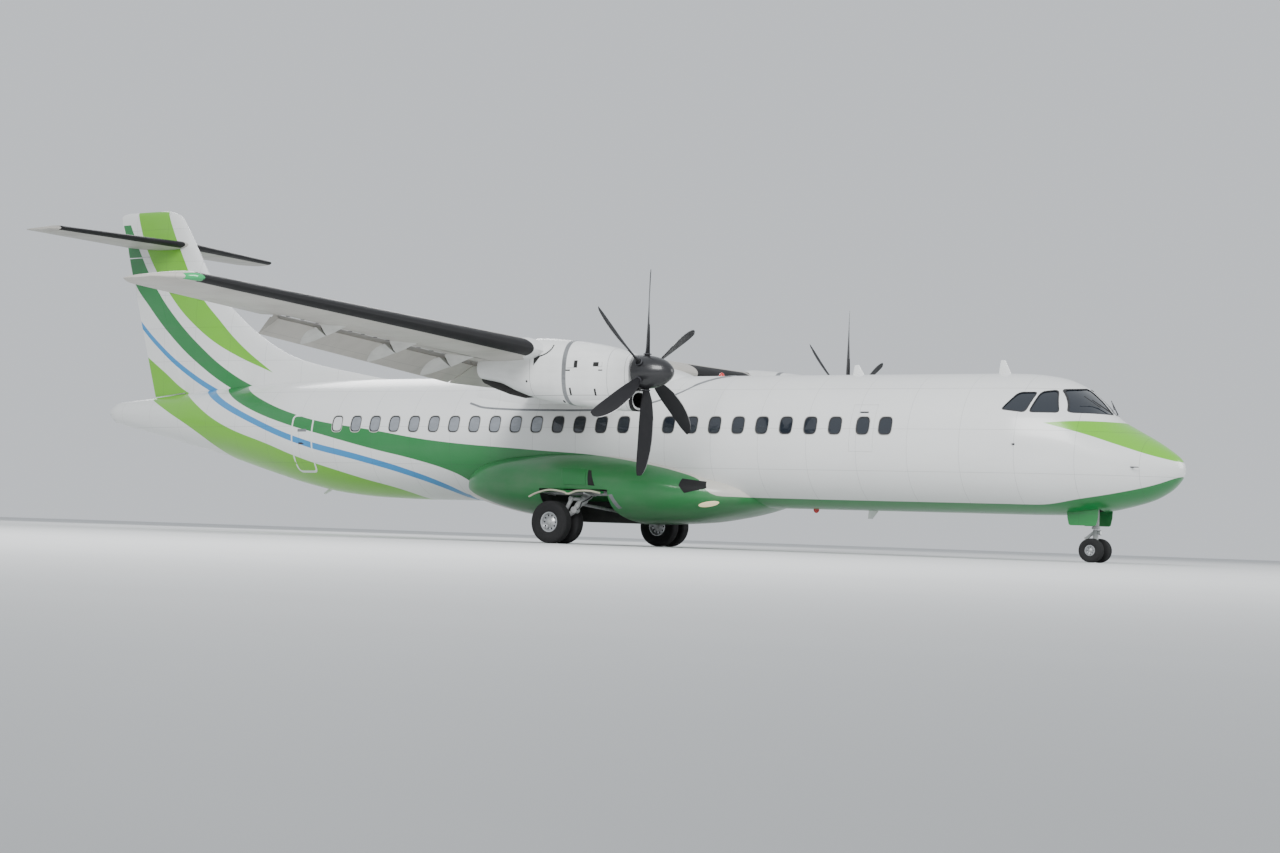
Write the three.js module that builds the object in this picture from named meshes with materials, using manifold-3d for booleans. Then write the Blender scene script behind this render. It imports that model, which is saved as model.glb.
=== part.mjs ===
// A twin turboprop airliner with a high wing and a T-tail, parked on its landing gear.
// Millimetres, +X towards the nose, +Y to the left side, +Z up; the origin is on the ground under mid length.
// Stations (s) are distances aft of the nose tip.
import * as THREE from "three";
import { mergeVertices } from "three/addons/utils/BufferGeometryUtils.js";
import Module from "manifold-3d";

const wasm = await Module();
wasm.setup();

// Driving dimensions
const LENGTH = 27166;
const NOSE_X = LENGTH / 2;
const FIT = 0.5; // gap between pieces that are fastened together
const RUN = 8; // gap between pieces that move past each other
const SKIN_SIDES = 28; // facets around the fuselage
const WHEEL_SIDES = 24; // facets around a wheel and its tyre

// Fuselage sections: heights of crown, keel and widest point, half width, power of the lower curve
const FUSELAGE = [
  { s: 0, crown: 1830, keel: 1670, waist: 1750, half: 80, power: 2 },
  { s: 70, crown: 1945, keel: 1540, waist: 1745, half: 215, power: 2 },
  { s: 260, crown: 2095, keel: 1350, waist: 1742, half: 415, power: 2 },
  { s: 580, crown: 2295, keel: 1175, waist: 1760, half: 630, power: 2 },
  { s: 900, crown: 2465, keel: 1075, waist: 1795, half: 795, power: 2.05 },
  { s: 1320, crown: 2705, keel: 975, waist: 1855, half: 975, power: 2.1 },
  { s: 1630, crown: 3030, keel: 925, waist: 1900, half: 1085, power: 2.1 },
  { s: 1940, crown: 3265, keel: 890, waist: 1950, half: 1185, power: 2.15 },
  { s: 2400, crown: 3445, keel: 866, waist: 2020, half: 1305, power: 2.2 },
  { s: 3000, crown: 3522, keel: 860, waist: 2085, half: 1400, power: 2.2 },
  { s: 3700, crown: 3540, keel: 860, waist: 2107, half: 1432.5, power: 2.2 },
  { s: 17300, crown: 3540, keel: 860, waist: 2107, half: 1432.5, power: 2.2 },
  { s: 18500, crown: 3538, keel: 882, waist: 2130, half: 1415, power: 2.2 },
  { s: 19500, crown: 3528, keel: 950, waist: 2190, half: 1365, power: 2.2 },
  { s: 20500, crown: 3506, keel: 1105, waist: 2280, half: 1285, power: 2.15 },
  { s: 21800, crown: 3455, keel: 1400, waist: 2410, half: 1120, power: 2.1 },
  { s: 23200, crown: 3370, keel: 1745, waist: 2550, half: 890, power: 2.05 },
  { s: 24600, crown: 3245, keel: 2035, waist: 2650, half: 640, power: 2 },
  { s: 25800, crown: 3120, keel: 2285, waist: 2715, half: 430, power: 2 },
  { s: 26850, crown: 3020, keel: 2500, waist: 2765, half: 265, power: 2 },
  { s: 27090, crown: 2965, keel: 2560, waist: 2765, half: 205, power: 2 },
  { s: LENGTH, crown: 2860, keel: 2670, waist: 2765, half: 95, power: 2 },
];
// Panel joints of the fuselage: each section's front and rear station
const SECTIONS = {
  radome: [0, 900],
  cockpit_section: [900, 3200],
  forward_fuselage: [3200, 9200],
  centre_fuselage: [9200, 16200],
  rear_fuselage: [16200, 21800],
  tail_cone: [21800, LENGTH],
};

// Side openings: edges, heights, side (left is 1), wall thickness and gap around the panel;
// swing is the radius about the hinge that the panel's free edge keeps within, and relief is the room
// in the sill for its lower edge; a pocket has a floor
const DOORS = {
  passenger_door: { s0: 19300, s1: 20020, z0: 1410, z1: 3160, side: 1, wall: 120, gap: RUN,
    swing: { y: 1112, z: 1412, radius: 1742, relief: 50 } },
  service_door: { s0: 19665, s1: 20275, z0: 1410, z1: 2630, side: -1, wall: 100, gap: 1 },
  cargo_door: { s0: 3700, s1: 4975, z0: 1410, z1: 2940, side: 1, wall: 120, gap: RUN },
  emergency_exit_left: { s0: 5660, s1: 6170, z0: 1960, z1: 2870, side: 1, wall: 80, gap: 1, pocket: true },
  emergency_exit_right: { s0: 5660, s1: 6170, z0: 1960, z1: 2870, side: -1, wall: 80, gap: 1, pocket: true },
};
const FLOOR_Z = 1410;
const CABIN_WALL = 150;
const VESTIBULE = { s0: 19180, s1: 20400, y0: -1500, z1: 3200 };
const HOLD = { s0: 3560, s1: 5110, y0: -900, z1: 3050 };
const TAIL_HOLLOW = [20750, 25800]; // the empty space behind the rear bulkhead

// Cockpit windows: side panes as (station, height), the windscreen half as (distance from the middle, height)
const SIDE_PANES = [
  [[2065, 2745], [2580, 2745], [2470, 3125], [2215, 3165]],
  [[2660, 2745], [3110, 2790], [2870, 3105], [2550, 3120]],
];
const WINDSCREEN = { outline: [[45, 2755], [930, 2745], [610, 3180], [45, 3230]], s: [1200, 2500] };
const GLASS_BAND = [[1240, 2690], [3180, 2690], [3180, 3180], [2500, 3270], [1800, 3290], [1240, 3000]];
const GLASS = { depth: 14, thick: 26, slot: 1.003, middle: [2200, 2980] };

// Wing: span stations, leading edge stations and chords at the straight part's end and at the tip rib
const WING = {
  rootY: 4050, tipY: 13080, endY: 13525, le: 11220, tipLe: 11990, chord: 2570, tipChord: 1590,
  z: 3700, tipZ: 4195, incidence: 2, thick: 0.18, tipThick: 0.13, camber: 0.022,
};
// Flaps as fractions of chord; drop is how far the hinge line hangs below the chord
const FLAP = { front: 0.735, lip: 0.8, lipDepth: 0.012, hinge: 0.72, drop: 0.12, down: 35, sideGap: 20 };
const FLAP_SPANS = { inner: [1250, 4050], outer: [4050, 9880] };
const AILERON = { hinge: 0.76, span: [9920, 12980] };
// Hinge fairings: fraction of chord, half width, depth below the skin, height of the top above the skin
const CANOE_FRONT = [
  { u: 0.5, half: 15, depth: 20, top: 30 }, { u: 0.58, half: 50, depth: 90, top: 30 },
  { u: 0.66, half: 70, depth: 180, top: 30 }, { u: 0.716, half: 75, depth: 235, top: 30 },
];
const CANOE_REAR = [
  { u: 0.7245, half: 75, depth: 235, top: -12 }, { u: 0.744, half: 74, depth: 215, top: -12 },
  { u: 0.76, half: 72, depth: 195, top: 25 }, { u: 0.86, half: 55, depth: 110, top: 15 },
  { u: 0.97, half: 15, depth: 25, top: 4 },
];
const CANOE_Y = { inner: [2600], outer: [5000, 6700, 8700] };
const WING_FAIRING = [
  { s: 10420, top: 3470, half: 420 }, { s: 10800, top: 3600, half: 780 }, { s: 11300, top: 3740, half: 1100 },
  { s: 12000, top: 3790, half: 1210 }, { s: 13600, top: 3640, half: 1215 }, { s: 14500, top: 3570, half: 1160 },
  { s: 15330, top: 3480, half: 1080 },
];
const WING_FAIRING_Z = 2900;

const NACELLE_Y = 4050;
const NACELLE = [
  { s: 9330, top: 3640, bottom: 2950, half: 340 }, { s: 9520, top: 3700, bottom: 2800, half: 400 },
  { s: 9970, top: 3815, bottom: 2660, half: 455 }, { s: 10460, top: 3895, bottom: 2660, half: 475 },
  { s: 11050, top: 3960, bottom: 2715, half: 480 }, { s: 11500, top: 3985, bottom: 2790, half: 475 },
  { s: 12000, top: 3930, bottom: 2935, half: 445 }, { s: 12450, top: 3830, bottom: 3110, half: 380 },
  { s: 12930, top: 3640, bottom: 3200, half: 270 },
];
const CHIN = [
  { s: 9270, top: 2905, bottom: 2605, half: 255 }, { s: 9420, top: 2940, bottom: 2590, half: 275 },
  { s: 9800, top: 2980, bottom: 2600, half: 300 }, { s: 10460, top: 3000, bottom: 2660, half: 320 },
];
const COWL = { rear: 11050, wall: 45, shaftHole: 175 };
const INTAKE = [{ s: 9200, top: 2865, bottom: 2645, half: 215 }, { s: 9800, top: 2880, bottom: 2700, half: 215 }];
const ENGINE = { s0: 9520, s1: 11600, half: 290, z: 3180, rise: 300, shaft: 90, shaftFront: 9300 };
const PROP = { s: 9130, z: 3308, blades: 6, hub: 150, hubFront: 8960, hubRear: 9292, root: 58 };
// Blade sections: distance from the axis, chord, thickness, angle from the plane of rotation, sweep of the middle
const BLADE = [
  { r: 90, chord: 112, thick: 112, angle: 58, sweep: 0 }, { r: 345, chord: 116, thick: 100, angle: 56, sweep: 0 },
  { r: 520, chord: 205, thick: 52, angle: 50, sweep: 12 }, { r: 900, chord: 285, thick: 34, angle: 40, sweep: 20 },
  { r: 1300, chord: 300, thick: 24, angle: 33, sweep: 8 }, { r: 1650, chord: 262, thick: 17, angle: 29, sweep: -30 },
  { r: 1880, chord: 178, thick: 12, angle: 27, sweep: -70 }, { r: 1965, chord: 80, thick: 8, angle: 26, sweep: -105 },
];
const SPINNER = [[8540, 0], [8550, 62], [8600, 135], [8700, 212], [8850, 275], [9020, 312], [9290, 330], [9290, 0]];

// Fin: leading edge station and chord low down and just under the tailplane, then its tip above it
const FIN = { z0: 3000, z1: 6700, le0: 22180, chord0: 3530, le1: 24583, chord1: 2300, thick: 0.12 };
const FIN_TIP = [
  { z: 6700.5, le: 24583, te: 26883, thick: 0.12 }, { z: 7370, le: 25030, te: 27100, thick: 0.115 },
  { z: 7560, le: 25230, te: 27135, thick: 0.1 }, { z: 7650, le: 25650, te: 26900, thick: 0.05 },
];
const DORSAL = [
  { s: 18700, top: 3545, half: 20 }, { s: 19900, top: 3740, half: 45 }, { s: 20900, top: 3930, half: 70 },
  { s: 21600, top: 4140, half: 95 }, { s: 22300, top: 4480, half: 120 }, { s: 23000, top: 4930, half: 140 },
  { s: 23600, top: 5410, half: 150 }, { s: 24000, top: 5730, half: 150 },
];
const DORSAL_BASE = 3200;
const RUDDER = { hinge: 0.68, span: [3100, 6560], endGap: 25, over: 30 };
const TAIL = { endY: 3655, tipY: 3540, z: 6800, le: 24800, chord: 1980, tipLe: 25430, tipChord: 1170, thick: 0.11 };
const ELEVATOR = { hinge: 0.66, span: [210, 3420] };

const GEAR_FAIRING = [
  { s: 8420, top: 1120, bottom: 900, half: 420 }, { s: 8800, top: 1340, bottom: 800, half: 1150 },
  { s: 9500, top: 1540, bottom: 640, half: 1560 }, { s: 10400, top: 1790, bottom: 510, half: 1850 },
  { s: 11500, top: 1960, bottom: 460, half: 1950 }, { s: 12900, top: 2010, bottom: 460, half: 1950 },
  { s: 14000, top: 1950, bottom: 560, half: 1820 }, { s: 14800, top: 1800, bottom: 700, half: 1620 },
  { s: 15300, top: 1560, bottom: 820, half: 1300 }, { s: 15600, top: 1250, bottom: 890, half: 600 },
];
const WHEEL_BAY = { s0: 11340, s1: 13010, y0: 430, z1: 1120 };
// Open wheel bay door: station, outer edge's distance from the middle and height, rise of its middle
const GEAR_DOOR = [
  { s: 11420, y: 2060, z: 1075, arch: 12 }, { s: 11900, y: 2200, z: 1085, arch: 25 },
  { s: 12400, y: 2300, z: 1060, arch: 25 }, { s: 12980, y: 2330, z: 960, arch: 12 },
];
const GEAR_DOOR_ROOT = { y: 1700, z: 1085, thick: 35 };
const MAIN = { s: 12450, y: 2050, spacing: 430, radius: 432, width: 254, rim: 205, axle: 45, bearing: 92 };
// Points of the main leg as (station, distance from the middle, height)
const MAIN_LEG = {
  pintle: [11950, 1600, 1050], knee: [12010, 1950, 800], pivot: [12020, 2050, 690],
  shockArm: [11980, 1800, 915], shockTop: [12120, 2045, 920], shockFoot: [12330, 2050, 522],
  brace: [12010, 1920, 820], braceEnd: [12010, 434, 700],
};
const NOSE = { s: 1690, spacing: 400, radius: 225, width: 190, rim: 100, axle: 32, bearing: 55 };
const NOSE_LEG = { radius: 62, bottom: 620, rod: 34, bore: 40, boreTop: 1110, collar: 52, pinZ: 1180 };
const NOSE_BAY = { s0: 1480, s1: 2140, half: 330, top: 1350 };

// Colour, roughness and metalness
const COLOURS = {
  white: [0xf2f3f4, 0.35, 0], green: [0x1d7a3c, 0.35, 0], grey: [0xb9bbb4, 0.5, 0], black: [0x17181a, 0.55, 0],
  glass: [0x20262b, 0.12, 0.1], metal: [0xa9adb0, 0.4, 0.7], dark_metal: [0x3b3d40, 0.55, 0.5], tyre: [0x141414, 0.9, 0],
};

// Small helpers
const aft = (s) => NOSE_X - s;
const rad = THREE.MathUtils.degToRad;
const vec = (x, y, z) => new THREE.Vector3(x, y, z);
const circle = (count, each) => Array.from({ length: count }, (_, i) => each((i / count) * 2 * Math.PI));

// A smooth curve that never overshoots through a table's column, read at station s
function curve(table, name, s) {
  const last = table.length - 1;
  if (s <= table[0].s) return table[0][name];
  if (s >= table[last].s) return table[last][name];
  const i = table.findIndex((row, n) => n < last && s < table[n + 1].s);
  const step = table[i + 1].s - table[i].s;
  const rise = (n) => (table[n + 1][name] - table[n][name]) / (table[n + 1].s - table[n].s);
  const slope = (n) => {
    if (n === 0 || n === last) return rise(Math.min(n, last - 1));
    const [before, after] = [rise(n - 1), rise(n)];
    return before * after <= 0 ? 0 : (2 * before * after) / (before + after);
  };
  const [t, m0, m1] = [(s - table[i].s) / step, slope(i) * step, slope(i + 1) * step];
  return (2 * t ** 3 - 3 * t ** 2 + 1) * table[i][name] + (t ** 3 - 2 * t ** 2 + t) * m0
    + (3 * t ** 2 - 2 * t ** 3) * table[i + 1][name] + (t ** 3 - t ** 2) * m1;
}

// A solid from points and triangles that agree in direction, turned to face out
function body(positions, triangles) {
  const point = (n) => vec(positions[3 * n], positions[3 * n + 1], positions[3 * n + 2]);
  const kept = [];
  let volume = 0;
  for (let i = 0; i < triangles.length; i += 3) {
    const [a, b, c] = triangles.slice(i, i + 3);
    if (a === b || b === c || a === c) continue;
    kept.push([a, b, c]);
    volume += point(a).dot(point(b).cross(point(c)));
  }
  const facing = kept.flatMap(([a, b, c]) => (volume < 0 ? [a, c, b] : [a, b, c]));
  return new wasm.Manifold(new wasm.Mesh({
    numProp: 3, vertProperties: new Float32Array(positions), triVerts: new Uint32Array(facing),
  }));
}

// Turns the triangles of a closed body so that neighbours agree in direction
function agreeing(faces) {
  const edges = new Map();
  const keyOf = (a, b) => (a < b ? `${a},${b}` : `${b},${a}`);
  faces.forEach((f, n) => [0, 1, 2].forEach((k) => {
    const key = keyOf(f[k], f[(k + 1) % 3]);
    edges.set(key, [...(edges.get(key) ?? []), n]);
  }));
  const done = faces.map((_, n) => n === 0);
  const queue = [0];
  while (queue.length) {
    const f = faces[queue.pop()];
    for (const k of [0, 1, 2]) {
      const [a, b] = [f[k], f[(k + 1) % 3]];
      for (const m of edges.get(keyOf(a, b)).filter((other) => !done[other])) {
        if ([0, 1, 2].some((i) => faces[m][i] === a && faces[m][(i + 1) % 3] === b)) faces[m].reverse();
        done[m] = true;
        queue.push(m);
      }
    }
  }
  return faces;
}

// A closed body through flat rings of equal point counts
function loft(rings) {
  const count = rings[0].length;
  const faces = [];
  for (let i = 0; i + 1 < rings.length; i++) {
    for (let j = 0; j < count; j++) {
      const [a, b] = [i * count + j, i * count + ((j + 1) % count)];
      faces.push([a, b, b + count], [a, b + count, a + count]);
    }
  }
  [0, rings.length - 1].forEach((i) => {
    const size = new THREE.Box3().setFromPoints(rings[i]).getSize(vec(0, 0, 0)).toArray();
    const flat = size.indexOf(Math.min(...size));
    const [u, v] = [0, 1, 2].filter((axis) => axis !== flat);
    const outline = rings[i].map((p) => new THREE.Vector2(p.getComponent(u), p.getComponent(v)));
    const turned = THREE.ShapeUtils.area(outline) < 0;
    const order = rings[i].map((_, n) => (turned ? count - 1 - n : n));
    const cap = THREE.ShapeUtils.triangulateShape(order.map((n) => outline[n]), []);
    cap.forEach((face) => faces.push(face.map((n) => i * count + order[n])));
  });
  return body(rings.flat().flatMap((p) => p.toArray()), agreeing(faces).flat());
}

// A three.js geometry as a solid, moved by a matrix
function solid(geometry, matrix = new THREE.Matrix4()) {
  const g = geometry.clone().applyMatrix4(matrix);
  g.deleteAttribute("normal");
  g.deleteAttribute("uv");
  const merged = mergeVertices(g, 1e-3);
  return body(merged.attributes.position.array, merged.index.array);
}

function geometryOf(shape) {
  const m = shape.getMesh();
  const g = new THREE.BufferGeometry();
  g.setAttribute("position", new THREE.BufferAttribute(new Float32Array(m.vertProperties), 3));
  g.setIndex(new THREE.BufferAttribute(new Uint32Array(m.triVerts), 1));
  return g;
}

function moved(shape, matrix) {
  const m = shape.getMesh();
  const points = new THREE.BufferAttribute(new Float32Array(m.vertProperties), 3).applyMatrix4(matrix);
  return body(points.array, m.triVerts);
}

// The same solid on the other side of the middle plane
const mirrored = (shape) => moved(shape, new THREE.Matrix4().makeScale(1, -1, 1));
const join = (shapes) => shapes.reduce((a, b) => a.add(b));

// Drops the loose slivers that a cut can leave beside a solid
function largest(shape) {
  return shape.decompose().reduce((a, b) => (a.volume() > b.volume() ? a : b));
}

// A block between two stations, two widths and two heights
function block(s0, s1, y0, y1, z0, z1) {
  const g = new THREE.BoxGeometry(Math.abs(s1 - s0), Math.abs(y1 - y0), Math.abs(z1 - z0));
  return solid(g, new THREE.Matrix4().makeTranslation(aft((s0 + s1) / 2), (y0 + y1) / 2, (z0 + z1) / 2));
}

// A round bar between two points given as (station, width, height)
function bar([s0, y0, z0], [s1, y1, z1], r0, r1 = r0, sides = 9) {
  const [a, b] = [vec(aft(s0), y0, z0), vec(aft(s1), y1, z1)];
  const g = new THREE.CylinderGeometry(r1, r0, a.distanceTo(b), sides);
  const turn = new THREE.Quaternion().setFromUnitVectors(vec(0, 1, 0), b.clone().sub(a).normalize());
  return solid(g, new THREE.Matrix4().compose(a.add(b).multiplyScalar(0.5), turn, vec(1, 1, 1)));
}

// A prism between two widths with an outline of (station, height)
function sidePrism(outline, y0, y1) {
  return loft([y0, y1].map((y) => outline.map(([s, z]) => vec(aft(s), y, z))));
}

// A ring at one station: rounded above and below its middle height, squarer as the power grows
function ovalRing(s, { top, bottom, half }, power, y = 0, sides = 24, grow = 0) {
  const bend = (v) => Math.sign(v) * Math.abs(v) ** (2 / power);
  const [middle, rise] = [(top + bottom) / 2, (top - bottom) / 2 + grow];
  return circle(sides, (t) => vec(aft(s), y + bend(Math.cos(t)) * (half + grow), middle + bend(Math.sin(t)) * rise));
}

// The rings of a table of ovals, read at any station
function ovals(table, power, y, sides) {
  return (s, grow = 0) => {
    const [top, bottom, half] = ["top", "bottom", "half"].map((name) => curve(table, name, s));
    return ovalRing(s, { top, bottom, half }, power, y, sides, grow);
  };
}

// Fuselage
const SKIN_STATIONS = [...new Set([...FUSELAGE.map((row) => row.s), ...Object.values(SECTIONS).flat()])]
  .sort((a, b) => a - b);

function fuselageRing(s, grow) {
  const [crown, keel, waist, half, power] = ["crown", "keel", "waist", "half", "power"].map((n) => curve(FUSELAGE, n, s));
  return circle(SKIN_SIDES, (t) => {
    const upper = Math.sin(t) > 0;
    const bend = (v) => Math.sign(v) * Math.abs(v) ** (2 / (upper ? 2 : power));
    const rise = (upper ? crown - waist : waist - keel) + grow;
    return vec(aft(s), bend(Math.cos(t)) * (half + grow), waist + bend(Math.sin(t)) * rise);
  });
}

// Between its fixed stations the skin runs straight, so pieces cut from it share one surface
function skinRing(s, grow) {
  const i = SKIN_STATIONS.findIndex((station) => station >= s);
  if (SKIN_STATIONS[i] === s) return fuselageRing(s, grow);
  const t = (s - SKIN_STATIONS[i - 1]) / (SKIN_STATIONS[i] - SKIN_STATIONS[i - 1]);
  const [a, b] = [fuselageRing(SKIN_STATIONS[i - 1], grow), fuselageRing(SKIN_STATIONS[i], grow)];
  return a.map((p, n) => p.lerp(b[n], t));
}

function skin(s0, s1, grow = 0) {
  const inside = SKIN_STATIONS.filter((s) => s > s0 && s < s1);
  return loft([s0, ...inside, s1].map((s) => skinRing(s, grow)));
}

function cabinSpace({ s0, s1, y0, z1 }) {
  return skin(s0 - 50, s1 + 50, -CABIN_WALL).intersect(block(s0, s1, y0, 1500, FLOOR_Z, z1));
}

const tailHollow = () => skin(...TAIL_HOLLOW, -CABIN_WALL);

function doorway(d) {
  const hole = block(d.s0, d.s1, 300 * d.side, 1700 * d.side, d.z0, d.z1);
  return d.pocket ? hole.subtract(skin(d.s0 - 50, d.s1 + 50, -d.wall - FIT)) : hole;
}

const aboutHinge = ({ s0, s1, swing }, radius, sides) =>
  bar([s0, swing.y, swing.z], [s1, swing.y, swing.z], radius, radius, sides);

function doorPanel(d) {
  const [from, to] = Object.values(SECTIONS).find(([s0, s1]) => s0 < d.s0 && d.s1 < s1);
  const wall = skin(from, to).subtract(skin(from + 1, to - 1, -d.wall));
  const { gap, side, swing } = d;
  const panel = wall.intersect(block(d.s0 + gap, d.s1 - gap, 300 * side, 1700 * side, d.z0 + gap, d.z1 - gap));
  if (!swing) return panel;
  return panel.intersect(aboutHinge(d, swing.radius, 96));
}

// The glazing is one curved band that shows between the posts
function cockpitGlass() {
  const [from, to] = SECTIONS.cockpit_section;
  const { depth, thick, slot, middle } = GLASS;
  const layer = (outer, inner) => skin(from + 50, to - 10, outer).subtract(skin(from + 20, to - 5, inner));
  const band = (scale) => sidePrism(
    GLASS_BAND.map((point) => point.map((v, i) => middle[i] + (v - middle[i]) * scale)), -1500, 1500);
  const panes = [1, -1].flatMap((side) => [
    ...SIDE_PANES.map((pane) => sidePrism(pane, 500 * side, 1600 * side)),
    loft(WINDSCREEN.s.map((s) => WINDSCREEN.outline.map(([y, z]) => vec(aft(s), y * side, z)))),
  ]);
  const groove = layer(FIT - depth, -depth - thick - FIT).intersect(band(slot));
  return {
    glass: layer(-depth, -depth - thick).intersect(band(1)),
    cut: join(panes).intersect(layer(60, -depth)).add(groove),
  };
}

// Wings and tail surfaces: each span station has a leading edge point, directions, a chord and a thickness ratio
const AIRFOIL_U = [0, 0.02, 0.08, 0.2, 0.4, 0.62, 0.82, 1];

function meanLine(f, u) {
  const peak = 0.35;
  const x = Math.min(u, 1);
  const m = f.camber ?? 0;
  return x < peak ? (m / peak ** 2) * (2 * peak * x - x * x) : (m / (1 - peak) ** 2) * (1 - 2 * peak + 2 * peak * x - x * x);
}

function halfThickness(f, u) {
  const x = Math.min(Math.max(u, 0), 1);
  const shape = 0.2969 * Math.sqrt(x) - 0.126 * x - 0.3516 * x ** 2 + 0.2843 * x ** 3 - 0.1015 * x ** 4;
  return 5 * f.thick * shape + 0.001;
}

const place = (f, [u, v]) => f.origin.clone().addScaledVector(f.aft, u * f.chord).addScaledVector(f.up, v * f.chord);

function airfoil(f, grow = 0) {
  const g = grow / f.chord;
  const ends = { 0: -g, 1: g };
  const side = (u, sign) => [u + (ends[u] ?? 0), meanLine(f, u) + sign * (halfThickness(f, u) + g)];
  const upper = AIRFOIL_U.map((u) => side(u, 1));
  const lower = [...AIRFOIL_U].reverse().map((u) => side(u, -1));
  return [...upper, ...lower].map((p) => place(f, p));
}

const spanLoft = (frame, spans, section) => loft(spans.map((at) => section(frame(at)).map((p) => place(frame(at), p))));

// Parts a full surface at a hinge: the fixed piece has a hollow rear edge, the moving one a round nose
function hinged(full, frame, hinge, [from, to], endGap = RUN) {
  const sides = 10;
  const nose = (grow) => (f) => {
    const r = (halfThickness(f, hinge) + grow / f.chord) / (grow > 0 ? Math.cos(Math.PI / sides) : 1);
    return circle(sides, (t) => [hinge + r * Math.cos(t), meanLine(f, hinge) + r * Math.sin(t)]);
  };
  const behind = () => [[hinge, -0.5], [1.4, -0.5], [1.4, 0.5], [hinge, 0.5]];
  const region = (grow, inset) => {
    const spans = [from + inset, to - inset];
    return spanLoft(frame, spans, behind).add(spanLoft(frame, spans, nose(grow)));
  };
  return { fixed: full.subtract(region(RUN, 0)), moving: full.intersect(region(0, endGap)) };
}

function wingFrame(y) {
  const t = Math.max(0, (y - WING.rootY) / (WING.tipY - WING.rootY));
  const mix = (a, b) => a + (b - a) * t;
  const i = rad(WING.incidence);
  return {
    origin: vec(aft(mix(WING.le, WING.tipLe)), y, mix(WING.z, WING.tipZ)),
    aft: vec(-Math.cos(i), 0, -Math.sin(i)),
    up: vec(-Math.sin(i), 0, Math.cos(i)),
    chord: mix(WING.chord, WING.tipChord),
    thick: mix(WING.thick, WING.tipThick),
    camber: WING.camber,
  };
}

// Beyond the last full rib the tip narrows towards the trailing edge; t runs from 0 to 1
function tipFrame(t) {
  const f = wingFrame(WING.tipY);
  const cut = 0.62 * t ** 2.2;
  f.origin.add(vec(-f.chord * cut * 0.85, (WING.endY - WING.tipY) * t, 20 * t));
  return { ...f, chord: f.chord * (1 - cut), thick: f.thick * (1 - 0.4 * t ** 2) };
}

// The flap's share of a section, with the wing's skin reaching over its nose as a lip
function flapSection(f, grow) {
  const g = grow / f.chord;
  const under = (u) => meanLine(f, u) + halfThickness(f, u) - FLAP.lipDepth - g;
  return [[FLAP.front + g, -0.4], [1.3, -0.4], [1.3, 0.4], [FLAP.lip + g, 0.4], [FLAP.lip + g, under(FLAP.lip)],
    [FLAP.front + 0.022 + g, under(FLAP.front)], [FLAP.front + g, under(FLAP.front) - 0.025]];
}

const flapHinge = (y) => place(wingFrame(y), [FLAP.hinge, -FLAP.drop]);

function flapDown(name) {
  const [a, b] = FLAP_SPANS[name].map(flapHinge);
  const axis = b.clone().sub(a).normalize();
  return new THREE.Matrix4().makeTranslation(a.x, a.y, a.z)
    .multiply(new THREE.Matrix4().makeRotationAxis(axis, rad(-FLAP.down)))
    .multiply(new THREE.Matrix4().makeTranslation(-a.x, -a.y, -a.z));
}

function canoe(y, rows) {
  const f = wingFrame(y);
  const size = f.chord / WING.chord;
  return loft(rows.map(({ u, half, depth, top }) => {
    const skinV = (meanLine(f, u) - halfThickness(f, u)) * f.chord;
    const [high, low] = [skinV + top, skinV - depth * size];
    const middle = low * 0.6 + (skinV - 12) * 0.4;
    return [[-half, high], [-half, middle], [-half * 0.35, low], [half * 0.35, low], [half, middle], [half, high]]
      .map(([across, v]) => place(f, [u, v / f.chord]).add(vec(0, across * size, 0)));
  }));
}

// The wing's pieces on the left, its flaps lowered, and the whole wing grown by the fitting gap
function wings() {
  const outer = (start, grow = 0) =>
    loft([...[start, WING.tipY].map(wingFrame), ...[0.35, 0.7, 1].map(tipFrame)].map((f) => airfoil(f, grow)));
  const centre = (y0, y1, grow = 0) => loft([y0, y1].map((y) => airfoil(wingFrame(y), grow)));
  const made = {};
  const holes = {};
  for (const [name, [y0, y1]] of Object.entries(FLAP_SPANS)) {
    const whole = name === "inner" ? centre(y0, y1) : outer(y0);
    const region = (grow, gap) => spanLoft(wingFrame, [y0 + gap, y1 - gap], (f) => flapSection(f, grow));
    const canoes = CANOE_Y[name].map((y) => canoe(y, CANOE_REAR));
    holes[name] = region(0, 0);
    made["flap_" + name] = moved(join([whole.intersect(region(RUN, FLAP.sideGap)), ...canoes]), flapDown(name));
  }
  const canoeFronts = (name) => join(CANOE_Y[name].map((y) => canoe(y, CANOE_FRONT)));
  const aileron = hinged(outer(WING.rootY + FIT), wingFrame, AILERON.hinge, AILERON.span);
  made.wing_outer = aileron.fixed.subtract(holes.outer).add(canoeFronts("outer"));
  made.aileron = aileron.moving;
  made.wing_centre = join([
    centre(-WING.rootY, WING.rootY).subtract(holes.inner).subtract(mirrored(holes.inner)),
    canoeFronts("inner"), mirrored(canoeFronts("inner"))]);
  return { made, envelope: centre(-WING.rootY, WING.rootY, FIT).add(outer(WING.rootY, FIT)) };
}

function wingFairing(wing, barrel) {
  const shape = loft(WING_FAIRING.map(({ s, top, half }) => {
    const arch = Array.from({ length: 11 }, (_, i) => (i / 10) * Math.PI);
    return arch.map((t) => vec(aft(s), Math.sign(Math.cos(t)) * Math.abs(Math.cos(t)) ** 0.62 * half,
      WING_FAIRING_Z + Math.abs(Math.sin(t)) ** 0.62 * (top - WING_FAIRING_Z)));
  }));
  return largest(shape.subtract(barrel).subtract(wing));
}

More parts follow.
